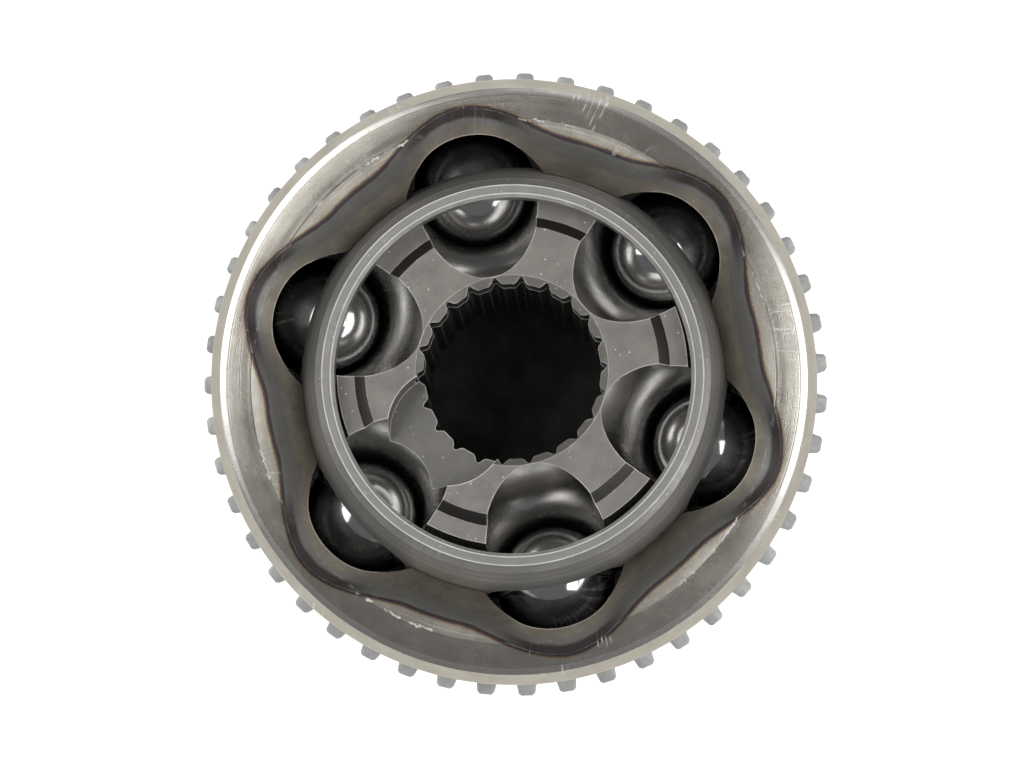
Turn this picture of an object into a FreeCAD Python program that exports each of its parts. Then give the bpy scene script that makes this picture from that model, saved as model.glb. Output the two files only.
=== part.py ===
import FreeCAD, Part
import math
import os

from FreeCAD import Vector

# Fixed ball-type constant-velocity joint: a bell-shaped outer race with a splined stub, a toothed
# speed-sensor ring on the bell, a window cage, six balls and a splined inner race.
# Millimetres. The origin is the joint centre, +Z runs along the bell's axis out of its mouth.

# --- running geometry -------------------------------------------------------------------------
ball_count = 6
ball_diameter = 15.08
pitch_radius = 26.05              # ball centres from the joint centre
track_offset = 2.8                # track centres lie this far each side of the joint centre
first_track_angle = 90.0          # degrees round Z
rest_lean = 8.0                   # degrees the inner race leans towards +Y when at rest
ball_roll_share = 1.032           # roll of a ball per lean of the cage, for a track along +Y

# --- running clearances -------------------------------------------------------------------------
groove_clearance = 0.12           # round a ball, in a groove
sphere_clearance = 0.15           # between the spherical faces of races and cage
window_clearance = 0.16           # each side of a ball, along the cage

# --- cage ---------------------------------------------------------------------------------------
cage_stand = 1.95                 # outside of the cage beyond the ball centres
cage_wall = 3.4
cage_rail = 5.6                   # from a window to the cage's face
cage_lip = 2.1                    # how far the rails reach in past the ball bore
cage_inner_bevel = 0.4
cage_outer_bevel = 0.55
window_width = 17.8               # round the cage
window_corner_radius = 3.2

# --- inner race ---------------------------------------------------------------------------------
inner_face_height = 10.3
inner_back_height = 10.9
face_ring_width = 2.2             # flat ring outside the boss
boss_step_width = 1.4             # the cone between boss and ring, seen from the front
boss_height = 0.9
spline_tooth_count = 22
spline_root_radius = 12.0
spline_depth = 0.8
spline_root_width = 0.4
spline_tip_width = 1.7
spline_phase = 89.3               # degrees round Z of one tooth space
spline_chamfer = 0.2
clip_groove_inset = 2.2           # from the boss face to the groove
clip_groove_width = 1.8
clip_groove_depth = 0.5           # below the spline's roots
relief_radius = 7.5
relief_depth = 4.5
relief_reach = 10.9               # axis of the milled relief from the race's axis
relief_track = 2                  # the relief lies beside this track, counted from the first

# --- bell's mouth -------------------------------------------------------------------------------
land_edge_angle = 17.15           # degrees above the mid plane where the ball bore ends
lobe_edge_angle = 22.0            # degrees round its own centre where a track runs out
inner_flare_land = 2.1            # widths of the two bands of the flare, seen from the front
outer_flare_land = 1.9
inner_flare_lobe = 1.35
outer_flare_lobe = 1.9
land_crease_share = 0.48          # height of the crease between the bands, from edge to rim
lobe_crease_share = 0.42
lobe_foot_angle = 24.5            # half angle of a lobe at its foot, degrees
track_mouth_angle = 19.5          # half angle of a track's mouth where it meets the ball bore
track_mouth_lead = 3.0            # slope inwards of a track's mouth, down to its depth
track_mouth_depth = 5.0           # below the mid plane
lobe_points = 12                  # points of a lobe's outline
mouth_lip = 2.02                  # height of the front face above the ends of the tracks
mouth_cone_angle = 38.0           # degrees of the turned cone below the front face
mouth_face_width = 3.15

# --- bell's outside -------------------------------------------------------------------------------
rim_bevel = 0.8
rim_swell = 1.4                   # how far the rim widens behind its bevel
rim_taper = 3.4
rim_width = 2.2
track_wall = 2.74                 # metal left between the tracks and the boot groove
boot_groove_depth = 1.5
boot_groove_width = 8.6
bell_band = 3.7                   # from the boot groove to the sensor ring's seat
bell_edge_break = 0.3
cavity_depth = 24.0
track_end_angle = 32.0            # the tracks run this far past their centres, degrees
floor_wall = 7.5
back_corner = 2.5
seat_edge_width = 1.2
seat_edge_height = 0.8

# --- sensor ring ----------------------------------------------------------------------------------
ring_tooth_count = 47
ring_seat_step = 0.9
ring_wall = 1.4
ring_tooth_height = 1.6
ring_width = 9.0
ring_tip_width = 1.95
ring_root_width = 2.65
ring_phase = -7.5                 # degrees round Z of one tooth
ring_bevel = 0.5

# --- stub ---------------------------------------------------------------------------------------
neck_length = 6.5
shoulder_width = 6.0
edge_break = 1.0
journal_radius = 14.0
journal_length = 10.0
journal_step = 0.8                # from the journal down to the spline's tips
stub_tooth_count = 25
stub_tooth_depth = 0.8
stub_tip_width = 1.3
stub_root_width = 1.1
stub_spline_length = 27.0
spline_root_clearance = 0.4       # the spline's end bevel reaches this far below its roots
undercut_width = 2.5
undercut_depth = 0.8
thread_radius = 11.0
thread_length = 20.0
end_chamfer = 1.2
pin_hole_radius = 2.1
pin_hole_inset = 7.0              # from the stub's end
centre_hole_radius = 2.6
centre_hole_depth = 6.0
centre_pilot_radius = 1.0

# --- worked out from the sizes above ----------------------------------------------------------------
ball_radius = ball_diameter / 2
groove_radius = ball_radius + groove_clearance
track_radius = math.hypot(pitch_radius, track_offset)
track_top_radius = track_radius + groove_radius
track_step = 360.0 / ball_count
cage_outer_radius = pitch_radius + cage_stand
cage_inner_radius = cage_outer_radius - cage_wall
cage_mouth_radius = cage_inner_radius - cage_lip
cage_half_width = ball_radius + window_clearance + cage_rail
cage_lean = rest_lean / 2         # the cage always leans half as far as the inner race
bell_bore_radius = cage_outer_radius + sphere_clearance
inner_sphere_radius = cage_inner_radius - sphere_clearance
spline_tip_radius = spline_root_radius - spline_depth
boss_face_height = inner_face_height + boss_height
boot_groove_radius = track_top_radius + track_wall
bell_radius = boot_groove_radius + boot_groove_depth
ring_seat_radius = bell_radius - ring_seat_step
ring_root_radius = ring_seat_radius + ring_wall
ring_tip_radius = ring_root_radius + ring_tooth_height
neck_radius = journal_radius + shoulder_width
stub_tip_radius = journal_radius - journal_step
stub_root_radius = stub_tip_radius - stub_tooth_depth
overrun = 2.0                     # how far a cutter runs past what it cuts
sliver = 0.5

# corners of the mouth's flare, as (radius, height): the two rims, the crease and the inner edge
land_turn = math.radians(land_edge_angle)
lobe_turn = math.radians(lobe_edge_angle)
land_edge = (bell_bore_radius * math.cos(land_turn), bell_bore_radius * math.sin(land_turn))
lobe_edge = (
    track_top_radius * math.cos(lobe_turn),
    track_offset + track_top_radius * math.sin(lobe_turn),
)
mouth_height = lobe_edge[1] + mouth_lip
mouth_slope = math.tan(math.radians(mouth_cone_angle))
mouth_step_radius = lobe_edge[0] + inner_flare_lobe
mouth_face_radius = mouth_step_radius + mouth_face_width
rim_radius = mouth_face_radius + rim_bevel + rim_swell
land_crease_radius = land_edge[0] + inner_flare_land
land_rim_radius = land_crease_radius + outer_flare_land
land_rim = (land_rim_radius, mouth_height - (mouth_step_radius - land_rim_radius) * mouth_slope)
land_crease = (land_crease_radius, land_edge[1] + land_crease_share * (land_rim[1] - land_edge[1]))
lobe_rim = (mouth_step_radius + outer_flare_lobe, mouth_height)
lobe_crease = (mouth_step_radius, lobe_edge[1] + lobe_crease_share * mouth_lip)

# heights down the outside
rim_back = mouth_height - rim_bevel - rim_taper - rim_width
boot_groove_end = rim_back - boot_groove_width
bell_shoulder_height = boot_groove_end - boot_groove_depth - bell_band
back_height = -cavity_depth - floor_wall
shoulder_height = back_height - neck_length
journal_end = shoulder_height - journal_length
spline_end = journal_end - stub_spline_length
thread_start = spline_end - undercut_width
thread_end = thread_start - thread_length

centre = Vector(0, 0, 0)
axis_x = Vector(1, 0, 0)
axis_z = Vector(0, 0, 1)


def track_angles():
    """Angles of the tracks round Z, in degrees."""
    return [first_track_angle + index * track_step for index in range(ball_count)]


def section(points):
    """A closed face in the XZ plane from (radius, height) corners; a corner of three
    numbers starts an arc about the origin of that third number's radius."""
    edges = []
    for here, after in zip(points, points[1:] + points[:1]):
        start = Vector(here[0], 0, here[1])
        end = Vector(after[0], 0, after[1])
        if len(here) == 3:
            middle_angle = (math.atan2(here[1], here[0]) + math.atan2(after[1], after[0])) / 2
            middle = Vector(here[2] * math.cos(middle_angle), 0, here[2] * math.sin(middle_angle))
            edges.append(Part.Arc(start, middle, end).toShape())
        else:
            edges.append(Part.LineSegment(start, end).toShape())
    return Part.Face(Part.Wire(edges))


def turned(points):
    """A solid of revolution about Z from a section's corners."""
    return section(points).revolve(centre, axis_z, 360)


def placed(shape, angle):
    """A copy of a shape turned round Z by an angle in degrees."""
    copy = shape.copy()
    copy.rotate(centre, axis_z, angle)
    return copy


def leaned(shape, angle):
    """A copy of a shape leaned towards +Y by an angle in degrees."""
    copy = shape.copy()
    copy.rotate(centre, axis_x, -angle)
    return copy


def on_sphere(sphere_radius, other):
    """The second coordinate of a point on a sphere about the origin."""
    return math.sqrt(sphere_radius ** 2 - other ** 2)


def tooth_prism(count, root_radius, tip_radius, root_width, tip_width, phase, low, high):
    """A prism whose outline is a toothed ring. Widths are those of the flat ends of the
    outline at each radius; phase is the angle of one flat at tip_radius."""
    step = 2 * math.pi / count
    tip_half = tip_width / 2 / tip_radius
    root_half = root_width / 2 / root_radius
    corners = []
    for index in range(count):
        middle = math.radians(phase) + index * step
        for angle, radius in (
            (middle - step / 2 + root_half, root_radius),
            (middle - tip_half, tip_radius),
            (middle + tip_half, tip_radius),
            (middle + step / 2 - root_half, root_radius),
        ):
            corners.append(Vector(radius * math.cos(angle), radius * math.sin(angle), low))
    outline = Part.makePolygon(corners + corners[:1])
    return Part.Face(outline).extrude(Vector(0, 0, high - low))


def track_cutter(track_height, start_angle, end_angle):
    """The round groove of a ball that rolls about a centre on the axis, in the XZ plane.
    Angles are counted from the mid plane towards the mouth, in degrees."""
    hub = Vector(0, 0, track_height)
    circle = Part.Circle(Vector(track_radius, 0, track_height), Vector(0, 0, 1), groove_radius)
    disc = Part.Face(Part.Wire(circle.toShape()))
    disc.rotate(hub, Vector(0, 1, 0), -start_angle)
    tube = disc.revolve(hub, Vector(0, -1, 0), end_angle - start_angle)
    return tube


def rounded_window():
    """A window through the cage wall on +X."""
    half_height = ball_radius + window_clearance
    block = Part.makeBox(
        cage_wall + 2 * overrun,
        window_width,
        2 * half_height,
        Vector(cage_inner_radius - overrun, -window_width / 2, -half_height),
    )
    corners = [edge for edge in block.Edges if abs(edge.Vertexes[0].X - edge.Vertexes[1].X) > cage_wall]
    return block.makeFillet(window_corner_radius, corners)


def off_track(angle):
    """Angle from the middle of the nearest track."""
    return abs((angle - first_track_angle + track_step / 2) % track_step - track_step / 2)


def between(start, end, share):
    return start + share * (end - start)


def track_mouth(angle):
    """Where a track's mouth ends in the flare; between tracks it lies inside the ball bore."""
    share = 1 - (off_track(angle) / track_mouth_angle) ** 2
    return (between(land_edge[0], lobe_edge[0], share), between(land_edge[1], lobe_edge[1], share))


def track_mouth_foot(angle):
    return (track_mouth(angle)[0] - track_mouth_lead, -track_mouth_depth)


def lobe_share(angle):
    """How far the wavy edge stands out at an angle: 1 over a track, 0 between tracks."""
    run = max(0.0, 1 - off_track(angle) / lobe_foot_angle)
    return run * run * (3 - 2 * run)


def flare_crease(angle):
    share = lobe_share(angle)
    return (between(land_crease[0], lobe_crease[0], share), between(land_crease[1], lobe_crease[1], share))


def wavy_edge(angle):
    """Where the flare runs out on the turned cone or on the front face."""
    radius = between(land_rim[0], lobe_rim[0], lobe_share(angle))
    return (radius, min(mouth_height, mouth_height - (mouth_step_radius - radius) * mouth_slope))


def past_wavy_edge(angle):
    """A sliver past the wavy edge, in line with the flare's outer band."""
    crease = flare_crease(angle)
    edge = wavy_edge(angle)
    slope = (edge[0] - crease[0]) / (edge[1] - crease[1])
    return (edge[0] + slope * sliver, edge[1] + sliver)


def over_wavy_edge(angle):
    return (past_wavy_edge(angle)[0], mouth_height + overrun)


def mouth_outline(place):
    """A closed wavy wire through the radius and height that place gives at each angle."""
    count = ball_count * lobe_points
    points = []
    for index in range(count):
        angle = first_track_angle + index * 360.0 / count
        radius, height = place(angle)
        turn = math.radians(angle)
        points.append(Vector(radius * math.cos(turn), radius * math.sin(turn), height))
    curve = Part.BSplineCurve()
    curve.interpolate(Points=points, PeriodicFlag=True)
    return Part.Wire(curve.toShape())


def mouth_cutter():
    """The six-lobed flare of the bell's mouth, in two bands that meet at a crease."""
    places = [track_mouth_foot, track_mouth, flare_crease, past_wavy_edge, over_wavy_edge]
    return Part.makeLoft([mouth_outline(place) for place in places], True, True)


def bell_blank():
    """The turned outside of the bell and stub, with the cone in its mouth, still solid."""
    dish_height = mouth_height - (mouth_step_radius - land_crease_radius) * mouth_slope
    seat_end = bell_shoulder_height - ring_width
    back_start = seat_end - seat_edge_height
    back_start_radius = ring_seat_radius - seat_edge_width
    return turned([
        (0, dish_height),
        (land_crease_radius, dish_height),
        (mouth_step_radius, mouth_height),
        (mouth_face_radius, mouth_height),
        (mouth_face_radius + rim_bevel, mouth_height - rim_bevel),
        (rim_radius, mouth_height - rim_bevel - rim_taper),
        (rim_radius, rim_back),
        (boot_groove_radius, rim_back - boot_groove_depth / 2),
        (boot_groove_radius, boot_groove_end),
        (bell_radius - bell_edge_break, boot_groove_end - boot_groove_depth),
        (bell_radius, boot_groove_end - boot_groove_depth - bell_edge_break),
        (bell_radius, bell_shoulder_height),
        (ring_seat_radius, bell_shoulder_height),
        (ring_seat_radius, seat_end),
        (back_start_radius, back_start),
        (between(neck_radius, back_start_radius, 0.86), between(back_height, back_start, 0.60)),
        (between(neck_radius, back_start_radius, 0.50), between(back_height, back_start, 0.22)),
        (neck_radius + back_corner, back_height),
        (neck_radius, back_height - back_corner),
        (neck_radius, shoulder_height + edge_break),
        (neck_radius - edge_break, shoulder_height),
        (journal_radius + edge_break, shoulder_height),
        (journal_radius, shoulder_height - edge_break),
        (journal_radius, journal_end),
        (stub_tip_radius, journal_end - journal_step),
        (stub_tip_radius, spline_end + edge_break),
        (stub_root_radius - spline_root_clearance, spline_end),
        (thread_radius - undercut_depth, spline_end),
        (thread_radius - undercut_depth, thread_start),
        (thread_radius, thread_start - undercut_depth),
        (thread_radius, thread_end + end_chamfer),
        (thread_radius - end_chamfer, thread_end),
        (0, thread_end),
    ])


def stub_cutters():
    """What is cut from the turned stub: tooth spaces, the split-pin hole, the centre drilling."""
    spline_start = journal_end - 2 * journal_step
    sleeve = Part.makeCylinder(
        stub_tip_radius + sliver, spline_start - spline_end, Vector(0, 0, spline_end)
    )
    teeth = tooth_prism(
        stub_tooth_count, stub_root_radius, stub_tip_radius, stub_root_width, stub_tip_width,
        first_track_angle, spline_end - overrun, spline_start + overrun,
    )
    pin_height = thread_end + pin_hole_inset
    pin_hole = Part.makeCylinder(
        pin_hole_radius, 2 * (thread_radius + overrun), Vector(-thread_radius - overrun, 0, pin_height), axis_x
    )
    drilling = turned([
        (0, thread_end - overrun),
        (centre_hole_radius, thread_end - overrun),
        (centre_hole_radius, thread_end),
        (centre_pilot_radius, thread_end + centre_hole_radius),
        (centre_pilot_radius, thread_end + centre_hole_depth - centre_pilot_radius),
        (0, thread_end + centre_hole_depth),
    ])
    return [sleeve.cut(teeth), pin_hole, drilling]


def outer_race():
    """One forging: the bell with its ball tracks and wavy mouth, and the splined stub."""
    floor = on_sphere(bell_bore_radius, cavity_depth)
    top = on_sphere(bell_bore_radius, sliver)
    cavity = turned([
        (0, -cavity_depth),
        (floor, -cavity_depth, bell_bore_radius),
        (sliver, top),
        (0, top),
    ])
    track = track_cutter(track_offset, -track_end_angle, track_step)
    end_turn = math.radians(-track_end_angle)
    track_end = Part.makeSphere(groove_radius, Vector(
        track_radius * math.cos(end_turn), 0, track_offset + track_radius * math.sin(end_turn)
    ))
    race = bell_blank().cut(cavity)
    race = race.cut(mouth_cutter())
    for angle in track_angles():
        race = race.cut(placed(track, angle))
        race = race.cut(placed(track_end, angle))
    for cutter in stub_cutters():
        race = race.cut(cutter)
    return race


def abs_ring():
    """The toothed speed-sensor ring pressed on the back of the bell."""
    low = bell_shoulder_height - ring_width
    ring = tooth_prism(
        ring_tooth_count, ring_root_radius, ring_tip_radius, ring_root_width, ring_tip_width,
        ring_phase, low, bell_shoulder_height,
    )
    bevelled = turned([
        (0, low),
        (ring_tip_radius - ring_bevel, low),
        (ring_tip_radius + sliver, low + ring_bevel + sliver),
        (ring_tip_radius + sliver, bell_shoulder_height - ring_bevel - sliver),
        (ring_tip_radius - ring_bevel, bell_shoulder_height),
        (0, bell_shoulder_height),
    ])
    bore = Part.makeCylinder(ring_seat_radius, ring_width, Vector(0, 0, low))
    return ring.common(bevelled).cut(bore)


def cage():
    """The cage that holds the balls in the bisecting plane."""
    mouth_join = on_sphere(cage_inner_radius, cage_mouth_radius)
    rim = on_sphere(cage_outer_radius, cage_half_width)
    face_outer = rim - cage_outer_bevel
    bevel_height = cage_half_width - cage_outer_bevel
    bevel_radius = on_sphere(cage_outer_radius, bevel_height)
    inner_bevel = cage_mouth_radius + cage_inner_bevel
    inner_height = cage_half_width - cage_inner_bevel
    body = turned([
        (cage_mouth_radius, mouth_join),
        (cage_mouth_radius, inner_height),
        (inner_bevel, cage_half_width),
        (face_outer, cage_half_width),
        (bevel_radius, bevel_height, cage_outer_radius),
        (bevel_radius, -bevel_height),
        (face_outer, -cage_half_width),
        (inner_bevel, -cage_half_width),
        (cage_mouth_radius, -inner_height),
        (cage_mouth_radius, -mouth_join, cage_inner_radius),
    ])
    window = rounded_window()
    for angle in track_angles():
        body = body.cut(placed(window, angle))
    return leaned(body, cage_lean)


def inner_race():
    """The splined star that the drive shaft turns."""
    mouth_radius = spline_root_radius + spline_chamfer
    face_radius = on_sphere(inner_sphere_radius, inner_face_height)
    boss_step_radius = face_radius - face_ring_width
    boss_radius = boss_step_radius - boss_step_width
    body = turned([
        (spline_tip_radius, -inner_back_height + mouth_radius - spline_tip_radius),
        (spline_tip_radius, boss_face_height - mouth_radius + spline_tip_radius),
        (mouth_radius, boss_face_height),
        (boss_radius, boss_face_height),
        (boss_step_radius, inner_face_height),
        (face_radius, inner_face_height, inner_sphere_radius),
        (on_sphere(inner_sphere_radius, inner_back_height), -inner_back_height),
        (mouth_radius, -inner_back_height),
    ])
    groove = track_cutter(-track_offset, -track_step, track_step)
    for angle in track_angles():
        body = body.cut(placed(groove, angle))
    spaces = tooth_prism(
        spline_tooth_count, spline_tip_radius, spline_root_radius, spline_tip_width, spline_root_width,
        spline_phase, -inner_back_height - overrun, boss_face_height + overrun,
    )
    clip_groove = Part.makeCylinder(
        spline_root_radius + clip_groove_depth,
        clip_groove_width,
        Vector(0, 0, boss_face_height - clip_groove_inset - clip_groove_width),
    )
    relief_turn = math.radians(first_track_angle + relief_track * track_step)
    relief = Part.makeCylinder(relief_radius, relief_depth + overrun, Vector(
        relief_reach * math.cos(relief_turn),
        relief_reach * math.sin(relief_turn),
        boss_face_height - relief_depth,
    ))
    body = body.cut(spaces).cut(clip_groove).cut(relief)
    return leaned(body, rest_lean)


def ball_place(angle):
    """Where a ball lies at rest. Balls in the plane of the lean ride in the cage and slide
    along its radius; the others roll along their own track of the bell."""
    turn = math.radians(angle)
    out = Vector(math.cos(turn), math.sin(turn), 0)
    lean = math.radians(cage_lean)
    if abs(out.x) < 1e-6:
        reach = pitch_radius - track_offset * lean * out.y
        place = out * reach
        return Vector(0, place.y * math.cos(lean), -place.y * math.sin(lean))
    roll = -math.asin(track_offset / track_radius) - lean * out.y * ball_roll_share
    radius = track_radius * math.cos(roll)
    return Vector(out.x * radius, out.y * radius, track_offset + track_radius * math.sin(roll))


def ball(angle):
    return Part.makeSphere(ball_radius, ball_place(angle))


def nodes():
    yield "outer_race", outer_race()
    yield "abs_ring", abs_ring()
    yield "cage", cage()
    yield "inner_race", inner_race()
    for index, angle in enumerate(track_angles()):
        yield f"ball_{index + 1}", ball(angle)


def main():
    os.makedirs("parts", exist_ok=True)
    for name, shape in nodes():
        shape.exportStep(f"parts/{name}.step")


main()
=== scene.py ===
"""Looks of a fixed ball-type constant-velocity joint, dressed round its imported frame.

Sizes are in millimetres until a piece is finished; then its mesh is scaled to metres.
"""

import logging
import math
from dataclasses import dataclass, field
from enum import Enum
from functools import cache
from typing import Callable, ClassVar, Iterable, Sequence, Union

import bmesh
import bpy
from mathutils import Matrix, Vector


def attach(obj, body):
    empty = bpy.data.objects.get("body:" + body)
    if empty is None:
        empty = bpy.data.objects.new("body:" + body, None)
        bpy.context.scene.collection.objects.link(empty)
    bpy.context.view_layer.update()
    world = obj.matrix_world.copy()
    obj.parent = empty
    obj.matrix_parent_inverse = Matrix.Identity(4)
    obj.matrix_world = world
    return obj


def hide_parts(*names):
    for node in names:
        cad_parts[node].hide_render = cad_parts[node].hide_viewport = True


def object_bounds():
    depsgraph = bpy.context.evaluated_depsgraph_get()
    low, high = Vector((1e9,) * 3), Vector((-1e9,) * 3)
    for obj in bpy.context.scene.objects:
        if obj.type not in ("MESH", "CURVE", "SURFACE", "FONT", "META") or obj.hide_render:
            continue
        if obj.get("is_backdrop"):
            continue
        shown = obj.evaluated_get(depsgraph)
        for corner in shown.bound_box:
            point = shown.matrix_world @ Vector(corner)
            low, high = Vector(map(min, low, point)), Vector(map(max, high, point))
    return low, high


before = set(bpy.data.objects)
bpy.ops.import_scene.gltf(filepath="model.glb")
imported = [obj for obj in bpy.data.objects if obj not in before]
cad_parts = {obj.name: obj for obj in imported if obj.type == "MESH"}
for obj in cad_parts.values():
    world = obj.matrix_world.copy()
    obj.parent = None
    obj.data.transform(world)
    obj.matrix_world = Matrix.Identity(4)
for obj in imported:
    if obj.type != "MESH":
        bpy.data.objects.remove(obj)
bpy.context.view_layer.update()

log = logging.getLogger("cv_joint")

Node = bpy.types.Node
NodeTree = bpy.types.NodeTree
Object = bpy.types.Object
Socket = bpy.types.NodeSocket
Sockets = bpy.types.bpy_prop_collection
Feed = Union[float, Sequence[float], Socket]

MM = 0.001
ORIGIN = Vector((0.0, 0.0, 0.0))
AXIS_Y = Vector((0.0, 1.0, 0.0))
AXIS_Z = Vector((0.0, 0.0, 1.0))
FULL_TURN = 2.0 * math.pi
OVERCUT = 2.0  # how far a cutter stands past the solid that it cuts
WELD = 1e-4  # corners closer than this are one, in millimetres
NO_EDGE = 1e-5  # edges shorter than this are dropped, in millimetres
WHITE = (1.0, 1.0, 1.0, 1.0)


class Joining(Enum):
    """Ways to combine solids."""

    CUT = "DIFFERENCE"
    ADD = "UNION"


class Surface(Enum):
    """The finishes that the joint's surfaces have."""

    MOUTH_FACE = "turned_mouth_face"
    MOUTH_BEVEL = "turned_mouth_bevel"
    OUTER_FLARE = "tempered_flare"
    INNER_FLARE = "smooth_flare"
    BALL_BORE = "ground_ball_bore"
    TRACK = "ground_track"
    CAVITY = "greased_cavity"
    RIM = "turned_rim"
    BELL = "turned_bell"
    FORGED = "forged_back"
    JOURNAL = "ground_journal"
    TEETH = "rolled_teeth"
    THREAD = "cut_thread"
    CAGE_TURNED = "turned_cage"
    CAGE_DARK = "hardened_cage"
    CAGE_EDGE = "cage_rubbed_edge"
    STAR_FACE = "blasted_star_face"
    STAR_STEP = "dark_star_step"
    STAR_GROOVE = "ground_star_groove"
    STAR_SPHERE = "ground_star_sphere"
    SPLINE = "broached_spline"
    RELIEF = "milled_relief"
    BALL = "polished_ball"
    SENSOR = "sintered_ring"


@dataclass(frozen=True)
class Running:
    """Sizes that the pieces share, so that balls, cage and races fit each other."""

    ball_count: int = 6
    ball_radius: float = 7.54
    pitch_radius: float = 26.05
    track_offset: float = 2.8
    groove_clearance: float = 0.12
    sphere_clearance: float = 0.15
    cage_outer: float = 28.0
    cage_inner: float = 24.6
    first_track: float = math.radians(90.0)
    rest_lean: float = math.radians(8.0)
    roll_share: float = 1.032
    groove_reach: float = math.radians(60.0)

    @property
    def groove_radius(self) -> float:
        """Radius of a ball groove's section."""
        return self.ball_radius + self.groove_clearance

    @property
    def track_radius(self) -> float:
        """Radius of the arc that a ball's centre rolls on."""
        return math.hypot(self.pitch_radius, self.track_offset)

    @property
    def step(self) -> float:
        """Angle from one track to the next."""
        return FULL_TURN / self.ball_count

    @property
    def cage_lean(self) -> float:
        """Lean of the cage, always half that of the inner race."""
        return self.rest_lean / 2.0

    def track_angles(self) -> list[float]:
        """Angles of the tracks round Z, in radians."""
        return [self.first_track + index * self.step for index in range(self.ball_count)]


RUN = Running()


# --- meshes ---------------------------------------------------------------------------------


def on_sphere(radius: float, other: float) -> float:
    """Return the second coordinate of a point on a sphere about the origin."""
    return math.sqrt(radius * radius - other * other)


def blend_pair(start: tuple, end: tuple, share: float) -> tuple[float, float]:
    """Return the pair that lies a share of the way from start to end."""
    return (start[0] + share * (end[0] - start[0]), start[1] + share * (end[1] - start[1]))


def point_at(radius: float, angle: float, height: float = 0.0) -> Vector:
    """Return the point at a radius, an angle round Z and a height."""
    return Vector((radius * math.cos(angle), radius * math.sin(angle), height))


def arc(radius: float, start: float, end: float, rows: int, surface: Surface) -> list[tuple]:
    """Return profile corners along an arc about the origin.

    Args:
        radius: Radius of the arc.
        start: Angle of the first corner above the mid plane.
        end: Angle of the last corner.
        rows: Runs between the two.
        surface: Finish of every run.

    Returns:
        (radius, height, surface) corners.
    """
    turns = [start + (end - start) * row / rows for row in range(rows + 1)]
    return [(radius * math.cos(turn), radius * math.sin(turn), surface) for turn in turns]


def tooth_space(side: Sequence[tuple], turn: float, height: float) -> list[Vector]:
    """Return the outline of the space between two teeth.

    Args:
        side: (radius, half width) corners of one side, from the inside out.
        turn: Direction of the space's middle round Z.
        height: Height of the outline.

    Returns:
        The outline's corners, up one side and down the other.
    """
    outline = [(radius, -half) for radius, half in side] + list(side)[::-1]
    turned = Matrix.Rotation(turn, 3, "Z")
    return [turned @ Vector((radius, half, height)) for radius, half in outline]


def put_in_scene(name: str, data: bpy.types.ID) -> Object:
    """Return a new scene object that shows some data."""
    made = bpy.data.objects.new(name, data)
    bpy.context.scene.collection.objects.link(made)
    return made


def _corner_key(radius: float, height: float) -> tuple[int, int]:
    """Return a profile corner in hundredths of a millimetre."""
    return (round(radius * 100.0), round(height * 100.0))


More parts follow.
